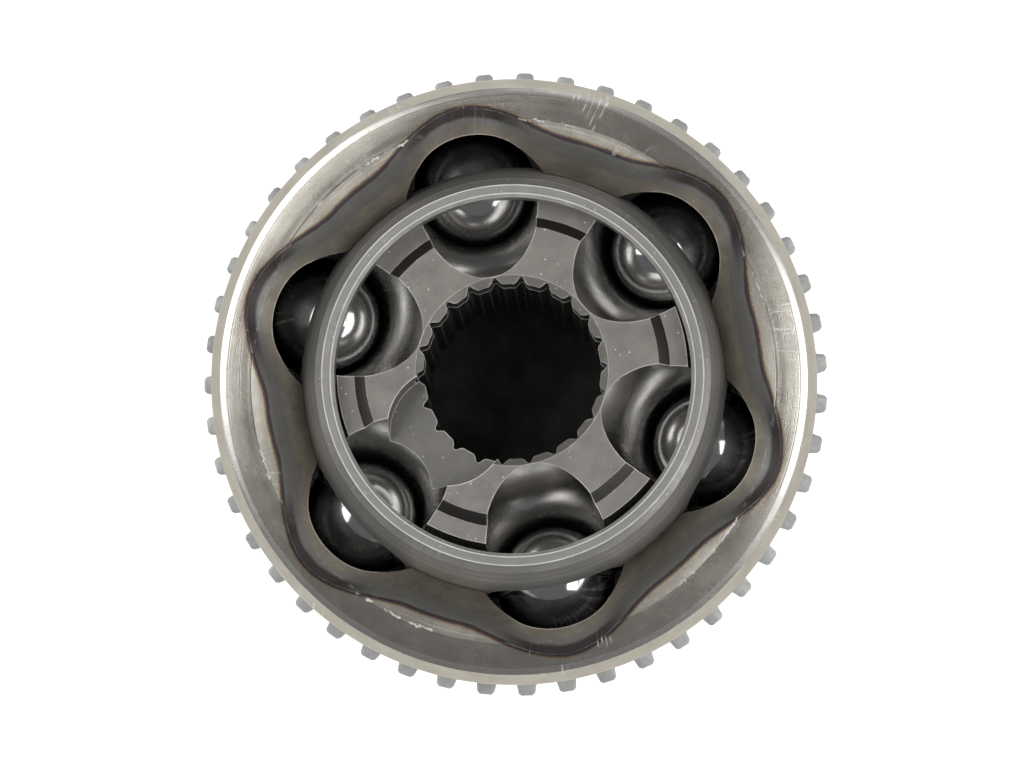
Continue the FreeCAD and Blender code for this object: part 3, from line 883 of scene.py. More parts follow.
@dataclass(frozen=True)
class MouthShape:
    """The bell's mouth: its wavy flare in two bands, and where they start and end."""

    bell_bore: float = RUN.cage_outer + RUN.sphere_clearance
    land_edge_angle: float = math.radians(17.15)
    lobe_edge_angle: float = math.radians(22.0)
    inner_flare_land: float = 2.1
    outer_flare_land: float = 1.9
    inner_flare_lobe: float = 1.35
    outer_flare_lobe: float = 1.9
    land_share: float = 0.48
    lobe_share: float = 0.42
    foot: float = math.radians(24.5)
    track_mouth: float = math.radians(19.5)
    track_lead: float = 3.0
    track_depth: float = 5.0
    lip: float = 2.02
    cone_slope: float = math.tan(math.radians(38.0))
    face_width: float = 3.15
    sliver: float = 0.3
    land_turn: tuple[float, float] = (0.56, 0.70)
    lobe_turn: tuple[float, float] = (0.50, 0.42)

    @property
    def lobe_edge(self) -> tuple[float, float]:
        """Radius and height where a track runs out at the mouth."""
        reach = RUN.track_radius + RUN.groove_radius
        return (reach * math.cos(self.lobe_edge_angle),
                RUN.track_offset + reach * math.sin(self.lobe_edge_angle))

    @property
    def land_edge(self) -> tuple[float, float]:
        """Radius and height where the ball bore ends between tracks."""
        return (self.bell_bore * math.cos(self.land_edge_angle),
                self.bell_bore * math.sin(self.land_edge_angle))

    @property
    def height(self) -> float:
        """Height of the turned front face."""
        return self.lobe_edge[1] + self.lip

    @property
    def step_radius(self) -> float:
        """Outer radius of the turned cone, and of the flare's crease over a track."""
        return self.lobe_edge[0] + self.inner_flare_lobe

    @property
    def land_crease(self) -> float:
        """Radius of the flare's crease between tracks."""
        return self.land_edge[0] + self.inner_flare_land

    @property
    def land_rim(self) -> float:
        """Radius of the wavy edge between tracks."""
        return self.land_crease + self.outer_flare_land

    @property
    def lobe_rim(self) -> float:
        """Radius of the wavy edge over a track."""
        return self.step_radius + self.outer_flare_lobe

    @property
    def face_radius(self) -> float:
        """Outer radius of the turned front face."""
        return self.step_radius + self.face_width

    @staticmethod
    def off_track(angle: float) -> float:
        """Return the angle from the middle of the nearest track."""
        return abs((angle - RUN.first_track + RUN.step / 2.0) % RUN.step - RUN.step / 2.0)

    def bore_end(self, angle: float) -> tuple[float, float]:
        """Return radius and height where a track's mouth ends; between tracks it lies in the bore."""
        share = 1.0 - (self.off_track(angle) / self.track_mouth) ** 2
        return blend_pair(self.land_edge, self.lobe_edge, share)

    def bore_foot(self, angle: float) -> tuple[float, float]:
        """Return radius and height at the foot of a track's widened mouth."""
        return (self.bore_end(angle)[0] - self.track_lead, -self.track_depth)

    def wave(self, angle: float) -> float:
        """Return 1 over a track's middle, 0 between tracks, and a smooth wave from one to the other."""
        run = max(0.0, 1.0 - self.off_track(angle) / self.foot)
        return run * run * (3.0 - 2.0 * run)

    def crease(self, angle: float) -> tuple[float, float]:
        """Return radius and height of the crease between the flare's bands."""
        rim_height = self.height - (self.step_radius - self.land_rim) * self.cone_slope
        land = (self.land_crease, self.land_edge[1] + self.land_share * (rim_height - self.land_edge[1]))
        lobe = (self.step_radius, self.lobe_edge[1] + self.lobe_share * self.lip)
        return blend_pair(land, lobe, self.wave(angle))

    def edge(self, angle: float) -> tuple[float, float]:
        """Return radius and height of the wavy edge, on the turned cone or the front face."""
        radius = self.land_rim + self.wave(angle) * (self.lobe_rim - self.land_rim)
        return (radius, min(self.height, self.height - (self.step_radius - radius) * self.cone_slope))

    def shoulder(self, angle: float) -> tuple[float, float]:
        """Return radius and height where the outer band turns over towards the wavy edge."""
        crease = self.crease(angle)
        edge = self.edge(angle)
        out, up = blend_pair(self.land_turn, self.lobe_turn, self.wave(angle))
        return (crease[0] + out * (edge[0] - crease[0]), crease[1] + up * (edge[1] - crease[1]))

    def past_edge(self, angle: float) -> tuple[float, float]:
        """Return a point a sliver past the wavy edge, in line with the outer band."""
        shoulder = self.shoulder(angle)
        edge = self.edge(angle)
        slope = (edge[0] - shoulder[0]) / (edge[1] - shoulder[1])
        return (edge[0] + slope * self.sliver, edge[1] + self.sliver)

    def over_edge(self, angle: float) -> tuple[float, float]:
        """Return the point over the wavy edge where the cutter ends."""
        return (self.past_edge(angle)[0], self.height + OVERCUT)

    def loops(self) -> list[tuple]:
        """Return (place, surface above) for each loop of the flare, from the bottom up."""
        return [
            # The track mouth's band takes the dark track colour, painted shade.
            (self.bore_foot, Surface.TRACK),
            (self.bore_end, Surface.INNER_FLARE),
            (self.crease, Surface.OUTER_FLARE),
            (self.shoulder, Surface.OUTER_FLARE),
            (self.past_edge, Surface.OUTER_FLARE),
            (self.over_edge, Surface.OUTER_FLARE),
        ]


RECIPES: dict[Surface, Steel] = {
    Surface.MOUTH_FACE: TemperedSteel(
        rgb(0.66, 0.63, 0.555), rgb(0.34, 0.32, 0.275), gloss=0.22, dull=0.30, ring_bump=0.32,
        ring_shade=0.15, ring_pitch=0.12, blotch=0.25, grain_bump=0.05, scuff=0.6, burr_glint=1.0,
    ),
    Surface.MOUTH_BEVEL: Steel(
        rgb(0.78, 0.76, 0.71), rgb(0.55, 0.52, 0.47), gloss=0.22, dull=0.30, blotch=0.3,
        grain_bump=0.03, scuff=0.8,
    ),
    Surface.OUTER_FLARE: OxideSteel(
        rgb(0.20, 0.195, 0.182), rgb(0.115, 0.112, 0.105), metal=0.45, gloss=0.34, dull=0.46,
        blotch=0.5, grain_bump=0.08, grain_scale=2200.0, edge_rub_glint=0.6, rub_and_glint=rgb(0.50, 0.48, 0.43),
        scuff=0.12, burr_glint=0.25,
    ),
    Surface.INNER_FLARE: Steel(
        rgb(0.25, 0.222, 0.178), rgb(0.135, 0.12, 0.098), metal=0.45, gloss=0.46, dull=0.58,
        blotch=0.8, grain_bump=0.28, grain_scale=1700.0, glint_specks=0.35, edge_rub_glint=1.0, scuff=0.08,
        edge_rub_glint_radius=0.00035, rub_and_glint=rgb(0.60, 0.56, 0.46),
    ),
    Surface.BALL_BORE: Steel(
        rgb(0.26, 0.255, 0.24), rgb(0.14, 0.13, 0.125), gloss=0.26, dull=0.38, ring_bump=0.1,
    ),
    # Ground track steel made far darker than the other ground steel: painted shade down the tracks and
    # their widened mouths.
    Surface.TRACK: Steel(
        rgb(0.14, 0.135, 0.13), rgb(0.06, 0.06, 0.06), gloss=0.22, dull=0.36, grain_bump=0.05,
    ),
    # Near-black floor deep in the bell.
    Surface.CAVITY: Steel(
        rgb(0.050, 0.050, 0.048), rgb(0.025, 0.025, 0.024), metal=0.3, gloss=0.45, dull=0.6,
        blotch=0.9, grain_bump=0.5, grain_scale=900.0, scuff=0.0, edge_rub_glint=0.0,
    ),
    Surface.RIM: Steel(
        rgb(0.50, 0.465, 0.385), rgb(0.35, 0.325, 0.265), gloss=0.40, dull=0.52, ring_bump=0.06,
        ring_shade=0.15, grain_bump=0.10, blotch=0.35,
    ),
    Surface.BELL: Steel(
        rgb(0.48, 0.46, 0.41), rgb(0.25, 0.235, 0.215), gloss=0.28, dull=0.42, ring_bump=0.25,
        ring_pitch=0.3, ring_shade=0.4, scuff=0.08,
    ),
    Surface.FORGED: Steel(
        rgb(0.17, 0.165, 0.16), rgb(0.085, 0.08, 0.08), gloss=0.42, dull=0.6, blotch=0.9,
        grain_bump=0.8, grain_scale=900.0, glint_specks=0.3, rub_and_glint=rgb(0.45, 0.43, 0.40), scuff=0.0,
    ),
    Surface.JOURNAL: Steel(
        rgb(0.62, 0.61, 0.58), rgb(0.42, 0.40, 0.38), gloss=0.16, dull=0.24, ring_bump=0.06,
        ring_pitch=0.1, ring_shade=0.2, grain_bump=0.02, scuff=0.1,
    ),
    Surface.TEETH: Steel(
        rgb(0.34, 0.33, 0.32), rgb(0.18, 0.17, 0.17), gloss=0.26, dull=0.40, edge_rub_glint=1.0, scuff=0.05,
    ),
    Surface.THREAD: Steel(
        rgb(0.46, 0.45, 0.42), rgb(0.22, 0.21, 0.20), gloss=0.26, dull=0.38, edge_rub_glint=0.8,
        edge_rub_glint_radius=0.0001, scuff=0.0,
    ),
    Surface.CAGE_TURNED: Steel(
        rgb(0.52, 0.51, 0.48), rgb(0.27, 0.262, 0.245), metal=0.65, gloss=0.30, dull=0.42,
        ring_bump=0.24, ring_pitch=0.16, ring_shade=0.65, grain_bump=0.3, blotch=0.5, glint_specks=0.9,
        edge_rub_glint=1.0, edge_rub_glint_radius=0.0004, scuff=0.15, lean=RUN.cage_lean,
    ),
    Surface.CAGE_DARK: Steel(
        rgb(0.64, 0.62, 0.58), rgb(0.33, 0.315, 0.295), metal=0.5, gloss=0.30, dull=0.42,
        ring_bump=0.85, ring_pitch=0.15, ring_shade=0.6, edge_rub_glint=0.9, scuff=0.1, lean=RUN.cage_lean,
    ),
    # Near-white rings at the edges of the cage's faces: painted edge highlights.
    Surface.CAGE_EDGE: Steel(
        rgb(0.92, 0.91, 0.88), rgb(0.60, 0.59, 0.56), metal=0.3, gloss=0.30, dull=0.45, blotch=0.9,
        grain_bump=0.3, scuff=0.0, edge_rub_glint=0.0, lean=RUN.cage_lean,
    ),
    Surface.STAR_FACE: Steel(
        rgb(0.36, 0.344, 0.313), rgb(0.22, 0.208, 0.19), metal=0.7, gloss=0.44, dull=0.56,
        blotch=0.6, grain_bump=0.5, grain_scale=4200.0, glint_specks=0.8, edge_rub_glint=1.0,
        edge_rub_glint_radius=0.0003, rub_and_glint=rgb(0.95, 0.92, 0.86), scuff=0.0, lean=RUN.rest_lean,
    ),
    # Near-black step at the boss's foot: painted shade of the hollow under the raised boss.
    Surface.STAR_STEP: Steel(
        rgb(0.10, 0.095, 0.09), rgb(0.055, 0.05, 0.05), gloss=0.40, dull=0.5, ring_bump=0.1,
        edge_rub_glint=1.0, edge_rub_glint_radius=0.00025, scuff=0.0, lean=RUN.rest_lean,
    ),
    Surface.STAR_GROOVE: Steel(
        rgb(0.60, 0.585, 0.56), rgb(0.38, 0.37, 0.35), gloss=0.19, dull=0.30, grain_bump=0.03,
        blotch=0.4, edge_rub_glint=1.0, edge_rub_glint_radius=0.0002, scuff=0.1, lean=RUN.rest_lean,
    ),
    Surface.STAR_SPHERE: Steel(
        rgb(0.30, 0.29, 0.275), rgb(0.17, 0.16, 0.15), gloss=0.2, dull=0.3, ring_bump=0.06,
        lean=RUN.rest_lean,
    ),
    Surface.SPLINE: Steel(
        rgb(0.20, 0.192, 0.182), rgb(0.09, 0.088, 0.08), gloss=0.28, dull=0.42, edge_rub_glint=1.0,
        edge_rub_glint_radius=0.00018, scuff=0.0, lean=RUN.rest_lean,
    ),
    Surface.RELIEF: Steel(
        rgb(0.27, 0.26, 0.24), rgb(0.17, 0.162, 0.15), metal=0.7, gloss=0.42, dull=0.54,
        blotch=0.4, grain_bump=0.25, grain_scale=3600.0, glint_specks=0.6, edge_rub_glint=1.0,
        edge_rub_glint_radius=0.00025, scuff=0.1, lean=RUN.rest_lean,
    ),
    Surface.BALL: Steel(
        rgb(0.60, 0.60, 0.60), rgb(0.52, 0.52, 0.52), gloss=0.09, dull=0.13, grain_bump=0.0,
        blotch=0.2, edge_rub_glint=0.0, scuff=0.0,
    ),
    Surface.SENSOR: Steel(
        rgb(0.64, 0.65, 0.64), rgb(0.40, 0.41, 0.405), metal=0.45, gloss=0.46, dull=0.62,
        blotch=0.8, grain_bump=0.9, grain_scale=1500.0, glint_specks=0.25, edge_rub_glint=0.45,
        rub_and_glint=rgb(0.42, 0.43, 0.40), scuff=0.1,
    ),
}


@cache
def finish(surface: Surface) -> bpy.types.Material:
    """Return the material of a surface, made when it is first used."""
    return RECIPES[surface].build(surface.value)


# --- sub-assemblies ------------------------------------------------------------------------------


class Machined:
    """A sub-assembly cut from stock that carries a few finishes."""

    SURFACES: ClassVar[tuple[Surface, ...]]

    def _stock(self, name: str) -> Stock:
        """Return empty stock with the sub-assembly's finishes."""
        return Stock(name, self.SURFACES)


@dataclass
class OuterRace(Machined):
    """The forging with the bell, its ball tracks and wavy mouth, and the splined stub."""

    mouth: MouthShape = field(default_factory=MouthShape)
    steps: int = 360
    flare_steps: int = 480
    rim_bevel: float = 0.8
    dub_off: float = 0.26
    rim_swell: float = 1.4
    rim_taper: float = 3.4
    rim_width: float = 2.2
    rim_corner: float = 1.0
    rim_round: float = 0.25
    rim_round_height: float = 2.448
    track_wall: float = 2.74
    boot_groove_depth: float = 1.5
    boot_groove_width: float = 8.6
    bell_band: float = 3.7
    edge: float = 0.3
    cavity_depth: float = 24.0
    track_end: float = math.radians(32.0)
    cavity_rows: int = 40
    floor_wall: float = 7.5
    seat_step: float = 0.9
    ring_width: float = 9.0
    seat_edge_width: float = 1.2
    seat_edge_height: float = 0.8
    back_corner: float = 2.5
    back_bowl: tuple = ((0.86, 0.60), (0.50, 0.22))
    neck_length: float = 6.5
    neck_radius: float = 20.0
    edge_break: float = 1.0
    journal_radius: float = 14.0
    journal_length: float = 10.0
    journal_step: float = 0.8
    tooth_count: int = 25
    tooth_depth: float = 0.8
    space_halves: tuple[float, float, float] = (0.55, 1.0, 1.4)
    space_overreach: float = 0.6
    space_run_out: float = 1.6
    space_lead: float = 1.0
    spline_length: float = 27.0
    spline_relief: float = 0.4
    undercut_width: float = 2.5
    undercut_depth: float = 0.8
    thread_radius: float = 11.0
    thread_length: float = 20.0
    thread_pitch: float = 1.5
    thread_depth: float = 0.92
    thread_overreach: float = 0.35
    thread_mouth_half: float = 0.69
    thread_root_half: float = 0.09
    thread_steps: int = 60
    end_chamfer: float = 1.2
    pin_hole_radius: float = 2.1
    pin_hole_inset: float = 7.0
    centre_hole_radius: float = 2.6
    centre_hole_depth: float = 6.0
    centre_lead: float = 0.6
    centre_lead_depth: float = 0.4
    pilot_radius: float = 1.0

    SURFACES = (
        Surface.MOUTH_FACE, Surface.MOUTH_BEVEL, Surface.OUTER_FLARE, Surface.INNER_FLARE,
        Surface.BALL_BORE, Surface.TRACK, Surface.CAVITY, Surface.RIM, Surface.BELL, Surface.FORGED,
        Surface.JOURNAL, Surface.TEETH, Surface.THREAD,
    )

    def __post_init__(self) -> None:
        """Work out the heights down the outside."""
        self.boot_radius = RUN.track_radius + RUN.groove_radius + self.track_wall
        self.bell_radius = self.boot_radius + self.boot_groove_depth
        self.seat_radius = self.bell_radius - self.seat_step
        self.rim_radius = self.mouth.face_radius + self.rim_bevel + self.rim_swell
        self.rim_back = self.mouth.height - self.rim_bevel - self.rim_taper - self.rim_width
        self.groove_end = self.rim_back - self.boot_groove_width
        self.bell_shoulder = self.groove_end - self.boot_groove_depth - self.bell_band
        self.seat_end = self.bell_shoulder - self.ring_width
        self.back = -self.cavity_depth - self.floor_wall
        self.shoulder = self.back - self.neck_length
        self.journal_end = self.shoulder - self.journal_length
        self.spline_end = self.journal_end - self.spline_length
        self.thread_start = self.spline_end - self.undercut_width
        self.thread_end = self.thread_start - self.thread_length
        self.tip_radius = self.journal_radius - self.journal_step

    def build(self) -> Object:
        """Model the race and hang it on the bell's body."""
        cutters = [
            self._cavity(), self._flare(), *(self._track(angle) for angle in RUN.track_angles()),
            self._tooth_spaces(), self._thread_groove(), self._pin_hole(), self._centre_drilling(),
        ]
        race = combine(self._blank(), cutters, Joining.CUT)
        return finish_piece(race, "outer", ["outer_race"])

    def _blank(self) -> Object:
        """Turn the outside of the bell and stub, with the cone in its mouth."""
        mouth = self.mouth
        dish = mouth.height - (mouth.step_radius - mouth.land_crease) * mouth.cone_slope
        bevel_end = mouth.height - self.rim_bevel
        start_radius = self.seat_radius - self.seat_edge_width
        start = self.seat_end - self.seat_edge_height
        thread_root = self.thread_radius - self.undercut_depth
        tooth_root = self.tip_radius - self.tooth_depth

        bowl = [
            (self.neck_radius + out * (start_radius - self.neck_radius),
             self.back + up * (start - self.back), Surface.FORGED)
            for out, up in self.back_bowl
        ]
        profile = [
            (0.0, dish, Surface.MOUTH_FACE),
            (mouth.land_crease, dish, Surface.MOUTH_FACE),
            (mouth.step_radius, mouth.height, Surface.MOUTH_FACE),
            (mouth.face_radius, mouth.height, Surface.MOUTH_BEVEL),
            (mouth.face_radius + self.rim_bevel, mouth.height - self.dub_off, Surface.RIM),
            (mouth.face_radius + self.rim_corner, bevel_end, Surface.RIM),
            (self.rim_radius - self.rim_round, bevel_end - self.rim_round_height, Surface.RIM),
            (self.rim_radius, bevel_end - self.rim_taper, Surface.RIM),
            (self.rim_radius, self.rim_back, Surface.BELL),
            (self.boot_radius, self.rim_back - self.boot_groove_depth / 2.0, Surface.BELL),
            (self.boot_radius, self.groove_end, Surface.BELL),
            (self.bell_radius - self.edge, self.groove_end - self.boot_groove_depth, Surface.BELL),
            (self.bell_radius, self.groove_end - self.boot_groove_depth - self.edge, Surface.BELL),
            (self.bell_radius, self.bell_shoulder + self.edge, Surface.BELL),
            (self.bell_radius - self.edge, self.bell_shoulder, Surface.BELL),
            (self.seat_radius, self.bell_shoulder, Surface.BELL),
            (self.seat_radius, self.seat_end, Surface.BELL),
            (start_radius, start, Surface.FORGED),
            *bowl,
            (self.neck_radius + self.back_corner, self.back, Surface.FORGED),
            (self.neck_radius, self.back - self.back_corner, Surface.BELL),
            (self.neck_radius, self.shoulder + self.edge_break, Surface.BELL),
            (self.neck_radius - self.edge_break, self.shoulder, Surface.BELL),
            (self.journal_radius + self.edge_break, self.shoulder, Surface.BELL),
            (self.journal_radius, self.shoulder - self.edge_break, Surface.JOURNAL),
            (self.journal_radius, self.journal_end + self.edge, Surface.JOURNAL),
            (self.tip_radius, self.journal_end - self.journal_step, Surface.TEETH),
            (self.tip_radius, self.spline_end + self.edge_break, Surface.TEETH),
            (tooth_root - self.spline_relief, self.spline_end, Surface.BELL),
            (thread_root, self.spline_end, Surface.BELL),
            (thread_root, self.thread_start, Surface.BELL),
            (self.thread_radius, self.thread_start - self.undercut_depth, Surface.THREAD),
            (self.thread_radius, self.thread_end + self.end_chamfer, Surface.THREAD),
            (self.thread_radius - self.end_chamfer, self.thread_end, Surface.BELL),
            (0.0, self.thread_end, Surface.BELL),
        ]
        return self._stock("outer_race_forging").turn(profile, self.steps).as_object()

    def _cavity(self) -> Object:
        """The ball bore, with the flat floor of the bell."""
        radius = self.mouth.bell_bore
        floor = math.asin(-self.cavity_depth / radius)
        corners = [(0.0, -self.cavity_depth, Surface.CAVITY)]
        corners += arc(radius, floor, math.pi / 2.0, self.cavity_rows, Surface.BALL_BORE)
        corners[-1] = (0.0, radius, Surface.BALL_BORE)
        return self._stock("cavity").turn(corners, self.steps).as_object()

    def _flare(self) -> Object:
        """The six-lobed flare of the mouth."""
        stock = self._stock("flare")
        mesh = stock.mesh
        below = None
        surface = Surface.TRACK
        for place, above in self.mouth.loops():
            ring = bmesh.ops.create_circle(mesh, cap_ends=False, segments=self.flare_steps, radius=1.0)
            for vert in ring["verts"]:
                angle = math.atan2(vert.co.y, vert.co.x)
                radius, height = place(angle)
                vert.co = point_at(radius, angle, height)
            edges = list({edge for vert in ring["verts"] for edge in vert.link_edges})
            known = set(mesh.faces)
            if below is None:
                bmesh.ops.contextual_create(mesh, geom=edges)
            else:
                bmesh.ops.bridge_loops(mesh, edges=below + edges)
            stock.paint_new(known, surface)
            below = edges
            surface = above
        bmesh.ops.contextual_create(mesh, geom=below)
        return stock.as_object()

    def _track(self, angle: float) -> Object:
        """Model one ball track, with its round end in the bell.

        Args:
            angle: Direction of the track round Z.

        Returns:
            The cutter.
        """
        stock = self._stock("track")
        stock.tube(RUN.track_offset, -self.track_end, RUN.groove_reach, Surface.TRACK, steps=60)
        reach = Vector((math.cos(self.track_end), 0.0, -math.sin(self.track_end))) * RUN.track_radius
        centre = Vector((0.0, 0.0, RUN.track_offset)) + reach
        end = self._stock("track_end").sphere(RUN.groove_radius, centre, Surface.TRACK, steps=72)
        track = combine(stock.as_object(), [end.as_object()], Joining.ADD)
        track.data.transform(Matrix.Rotation(angle, 4, "Z"))
        return track

    def _tooth_spaces(self) -> Object:
        """The spaces between the stub's spline teeth, run out towards the journal."""
        stock = self._stock("tooth_spaces")
        root = self.tip_radius - self.tooth_depth
        half_depth = root + self.tooth_depth / 2.0
        side = list(zip((root, self.tip_radius, self.tip_radius + self.space_overreach), self.space_halves))
        low = self.spline_end - self.space_lead
        rise = self.spline_length - self.space_run_out - self.journal_step
        for index in range(self.tooth_count):
            middle = RUN.first_track + (index + 0.5) * FULL_TURN / self.tooth_count
            top = stock.prism(tooth_space(side, middle, low), rise, Surface.TEETH)
            inner = [vert for vert in top if vert.co.xy.length < half_depth]
            bmesh.ops.translate(stock.mesh, verts=inner, vec=(0.0, 0.0, -self.space_run_out))
        return stock.as_object()

    def _thread_groove(self) -> Object:
        """The helical groove of the stub's thread."""
        stock = self._stock("thread_groove")
        mesh = stock.mesh
        low = self.thread_end - self.thread_pitch
        turns = round((self.thread_length + 2.0 * self.thread_pitch) / self.thread_pitch)
        outside = self.thread_radius + self.thread_overreach
        root = self.thread_radius - self.thread_depth
        corners = [
            (outside, self.thread_mouth_half), (root, self.thread_root_half),
            (root, -self.thread_root_half), (outside, -self.thread_mouth_half),
        ]
        verts = [mesh.verts.new((radius, 0.0, low + height)) for radius, height in corners]
        bmesh.ops.spin(
            mesh, geom=[mesh.faces.new(verts)], cent=ORIGIN, axis=AXIS_Z, angle=FULL_TURN * turns,
            steps=self.thread_steps * turns, dvec=(0.0, 0.0, self.thread_pitch / self.thread_steps),
            use_duplicate=False,
        )
        stock.paint_new(set(), Surface.THREAD)
        return stock.as_object()

    def _pin_hole(self) -> Object:
        """The split-pin hole across the threaded end."""
        height = self.thread_end + self.pin_hole_inset
        reach = self.thread_radius + OVERCUT
        ends = [Vector((side, 0.0, height)) for side in (-reach, reach)]
        return self._stock("pin_hole").rod(self.pin_hole_radius, *ends, Surface.BELL, 40).as_object()

    def _centre_drilling(self) -> Object:
        """The lathe centre in the stub's end."""
        lead_radius = self.centre_hole_radius + self.centre_lead
        corners = (
            (0.0, -OVERCUT), (lead_radius, -OVERCUT), (lead_radius, 0.0),
            (self.centre_hole_radius, self.centre_lead_depth),
            (self.pilot_radius, self.centre_hole_radius),
            (self.pilot_radius, self.centre_hole_depth - self.pilot_radius),
            (0.0, self.centre_hole_depth),
        )
        profile = [(radius, self.thread_end + depth, Surface.BELL) for radius, depth in corners]
        return self._stock("centre_drilling").turn(profile, 48).as_object()


@dataclass
class SensorRing(Machined):
    """The toothed ring that the wheel-speed sensor reads."""

    tooth_count: int = 47
    seat_radius: float = OuterRace().seat_radius
    wall: float = 1.4
    tooth_height: float = 1.6
    width: float = 9.0
    tip_half: float = 0.975
    root_half: float = 1.3
    corner_height: float = 0.3
    corner_out: float = 0.12
    corner_in: float = 0.25
    phase: float = math.radians(-7.5)
    bevel: float = 0.35
    bevel_angle: float = math.radians(60.0)
    top: float = OuterRace().bell_shoulder

    SURFACES = (Surface.SENSOR,)

    def build(self) -> Object:
        """Model the ring and hang it on the bell's body."""
        stock = self._stock("sensor_ring")
        mesh = stock.mesh
        root = self.seat_radius + self.wall
        step = FULL_TURN / self.tooth_count
        low = self.top - self.width
        side = self._tooth_side(root)
        outline = [(root, -step / 2.0)] + [(radius, -turn) for radius, turn in side] + side[::-1]
        inner = []
        outer = []
        for index in range(self.tooth_count):
            middle = self.phase + index * step
            for radius, turn in outline:
                outer.append(mesh.verts.new(point_at(radius, middle + turn, low)))
                inner.append(mesh.verts.new(point_at(self.seat_radius, middle + turn, low)))
        for index, corner in enumerate(outer):
            mesh.faces.new((inner[index - 1], outer[index - 1], corner, inner[index]))
        raised = bmesh.ops.extrude_face_region(mesh, geom=mesh.faces[:])
        top = [item for item in raised["geom"] if isinstance(item, bmesh.types.BMVert)]
        bmesh.ops.translate(mesh, verts=top, vec=(0.0, 0.0, self.width))
        bmesh.ops.recalc_face_normals(mesh, faces=mesh.faces[:])
        rims = [
            edge for edge in mesh.edges
            if len(edge.link_faces) == 2 and edge.calc_face_angle(0.0) > self.bevel_angle
            and abs(edge.verts[0].co.z - edge.verts[1].co.z) < self.bevel
            and min(vert.co.xy.length for vert in edge.verts) > self.seat_radius + self.wall / 2.0
        ]
        bmesh.ops.bevel(
            mesh, geom=rims, offset=self.bevel, offset_type="OFFSET", segments=2, profile=0.5,
            affect="EDGES", clamp_overlap=True, material=-1,
        )
        return finish_piece(stock.as_object(), "outer", ["abs_ring"])

    def _tooth_side(self, root: float) -> list[tuple[float, float]]:
        """Return (radius, angle) corners of one side of a tooth, from its root out."""
        tip = root + self.tooth_height
        return [
            (root, self.root_half / root),
            (tip - self.corner_height, (self.tip_half + self.corner_out) / tip),
            (tip, (self.tip_half - self.corner_in) / tip),
        ]


@dataclass
class Cage(Machined):
    """The cage that holds the balls in the bisecting plane."""

    steps: int = 240
    rail: float = 5.6
    lip: float = 2.1
    inner_bevel: float = 0.4
    outer_bevel: float = 0.55
    edge_line: float = 0.14
    window_clearance: float = 0.16
    window_width: float = 17.8
    window_corner: float = 3.2
    window_depth: float = 9.0
    rows: int = 28

    SURFACES = (Surface.CAGE_TURNED, Surface.CAGE_DARK, Surface.CAGE_EDGE)

    def build(self) -> Object:
        """Model the cage and hang it on its body."""
        cage = combine(self._blank(), [self._windows()], Joining.CUT)
        return finish_piece(cage, "cage", ["cage"], lean=RUN.cage_lean)

    @property
    def half_width(self) -> float:
        """Half the cage's width along its axis."""
        return RUN.ball_radius + self.window_clearance + self.rail

    def _blank(self) -> Object:
        """Turn the cage's two spherical faces and its rails."""
        mouth = RUN.cage_inner - self.lip
        join = on_sphere(RUN.cage_inner, mouth)
        face = on_sphere(RUN.cage_outer, self.half_width) - self.outer_bevel
        bevel_height = self.half_width - self.outer_bevel
        top = math.asin(bevel_height / RUN.cage_outer)
        inside = math.asin(join / RUN.cage_inner)
        profile = [
            (mouth, join, Surface.CAGE_TURNED),
            (mouth, self.half_width - self.inner_bevel, Surface.CAGE_TURNED),
            # The thin rings at the face's edges carry the painted edge highlight.
            (mouth + self.inner_bevel, self.half_width, Surface.CAGE_EDGE),
            (mouth + self.inner_bevel + self.edge_line, self.half_width, Surface.CAGE_TURNED),
            (face - self.edge_line, self.half_width, Surface.CAGE_EDGE),
            (face, self.half_width, Surface.CAGE_TURNED),
            *arc(RUN.cage_outer, top, -top, self.rows, Surface.CAGE_DARK),
            (face, -self.half_width, Surface.CAGE_TURNED),
            (mouth + self.inner_bevel, -self.half_width, Surface.CAGE_TURNED),
            (mouth, -self.half_width + self.inner_bevel, Surface.CAGE_TURNED),
            *arc(RUN.cage_inner, -inside, inside, self.rows, Surface.CAGE_DARK),
        ]
        return self._stock("ball_cage").turn(profile, self.steps).as_object()

    def _windows(self) -> Object:
        """The six windows, as blocks with round corners."""
        stock = self._stock("windows")
        height = 2.0 * (RUN.ball_radius + self.window_clearance)
        for angle in RUN.track_angles():
            known = set(stock.mesh.faces)
            made = bmesh.ops.create_cube(stock.mesh, size=1.0)["verts"]
            place = (
                Matrix.Rotation(angle, 4, "Z")
                @ Matrix.Translation(((RUN.cage_inner + RUN.cage_outer) / 2.0, 0.0, 0.0))
                @ Matrix.Diagonal((self.window_depth, self.window_width, height, 1.0))
            )
            bmesh.ops.transform(stock.mesh, matrix=place, verts=made)
            out = point_at(1.0, angle)
            corners = [
                edge for edge in {edge for vert in made for edge in vert.link_edges}
                if abs((edge.verts[0].co - edge.verts[1].co).normalized().dot(out)) > 0.9
            ]
            bmesh.ops.bevel(
                stock.mesh, geom=corners, offset=self.window_corner, offset_type="OFFSET", segments=10,
                profile=0.5, affect="EDGES", clamp_overlap=True, material=-1,
            )
            stock.paint_new(known, Surface.CAGE_TURNED)
        return stock.as_object()


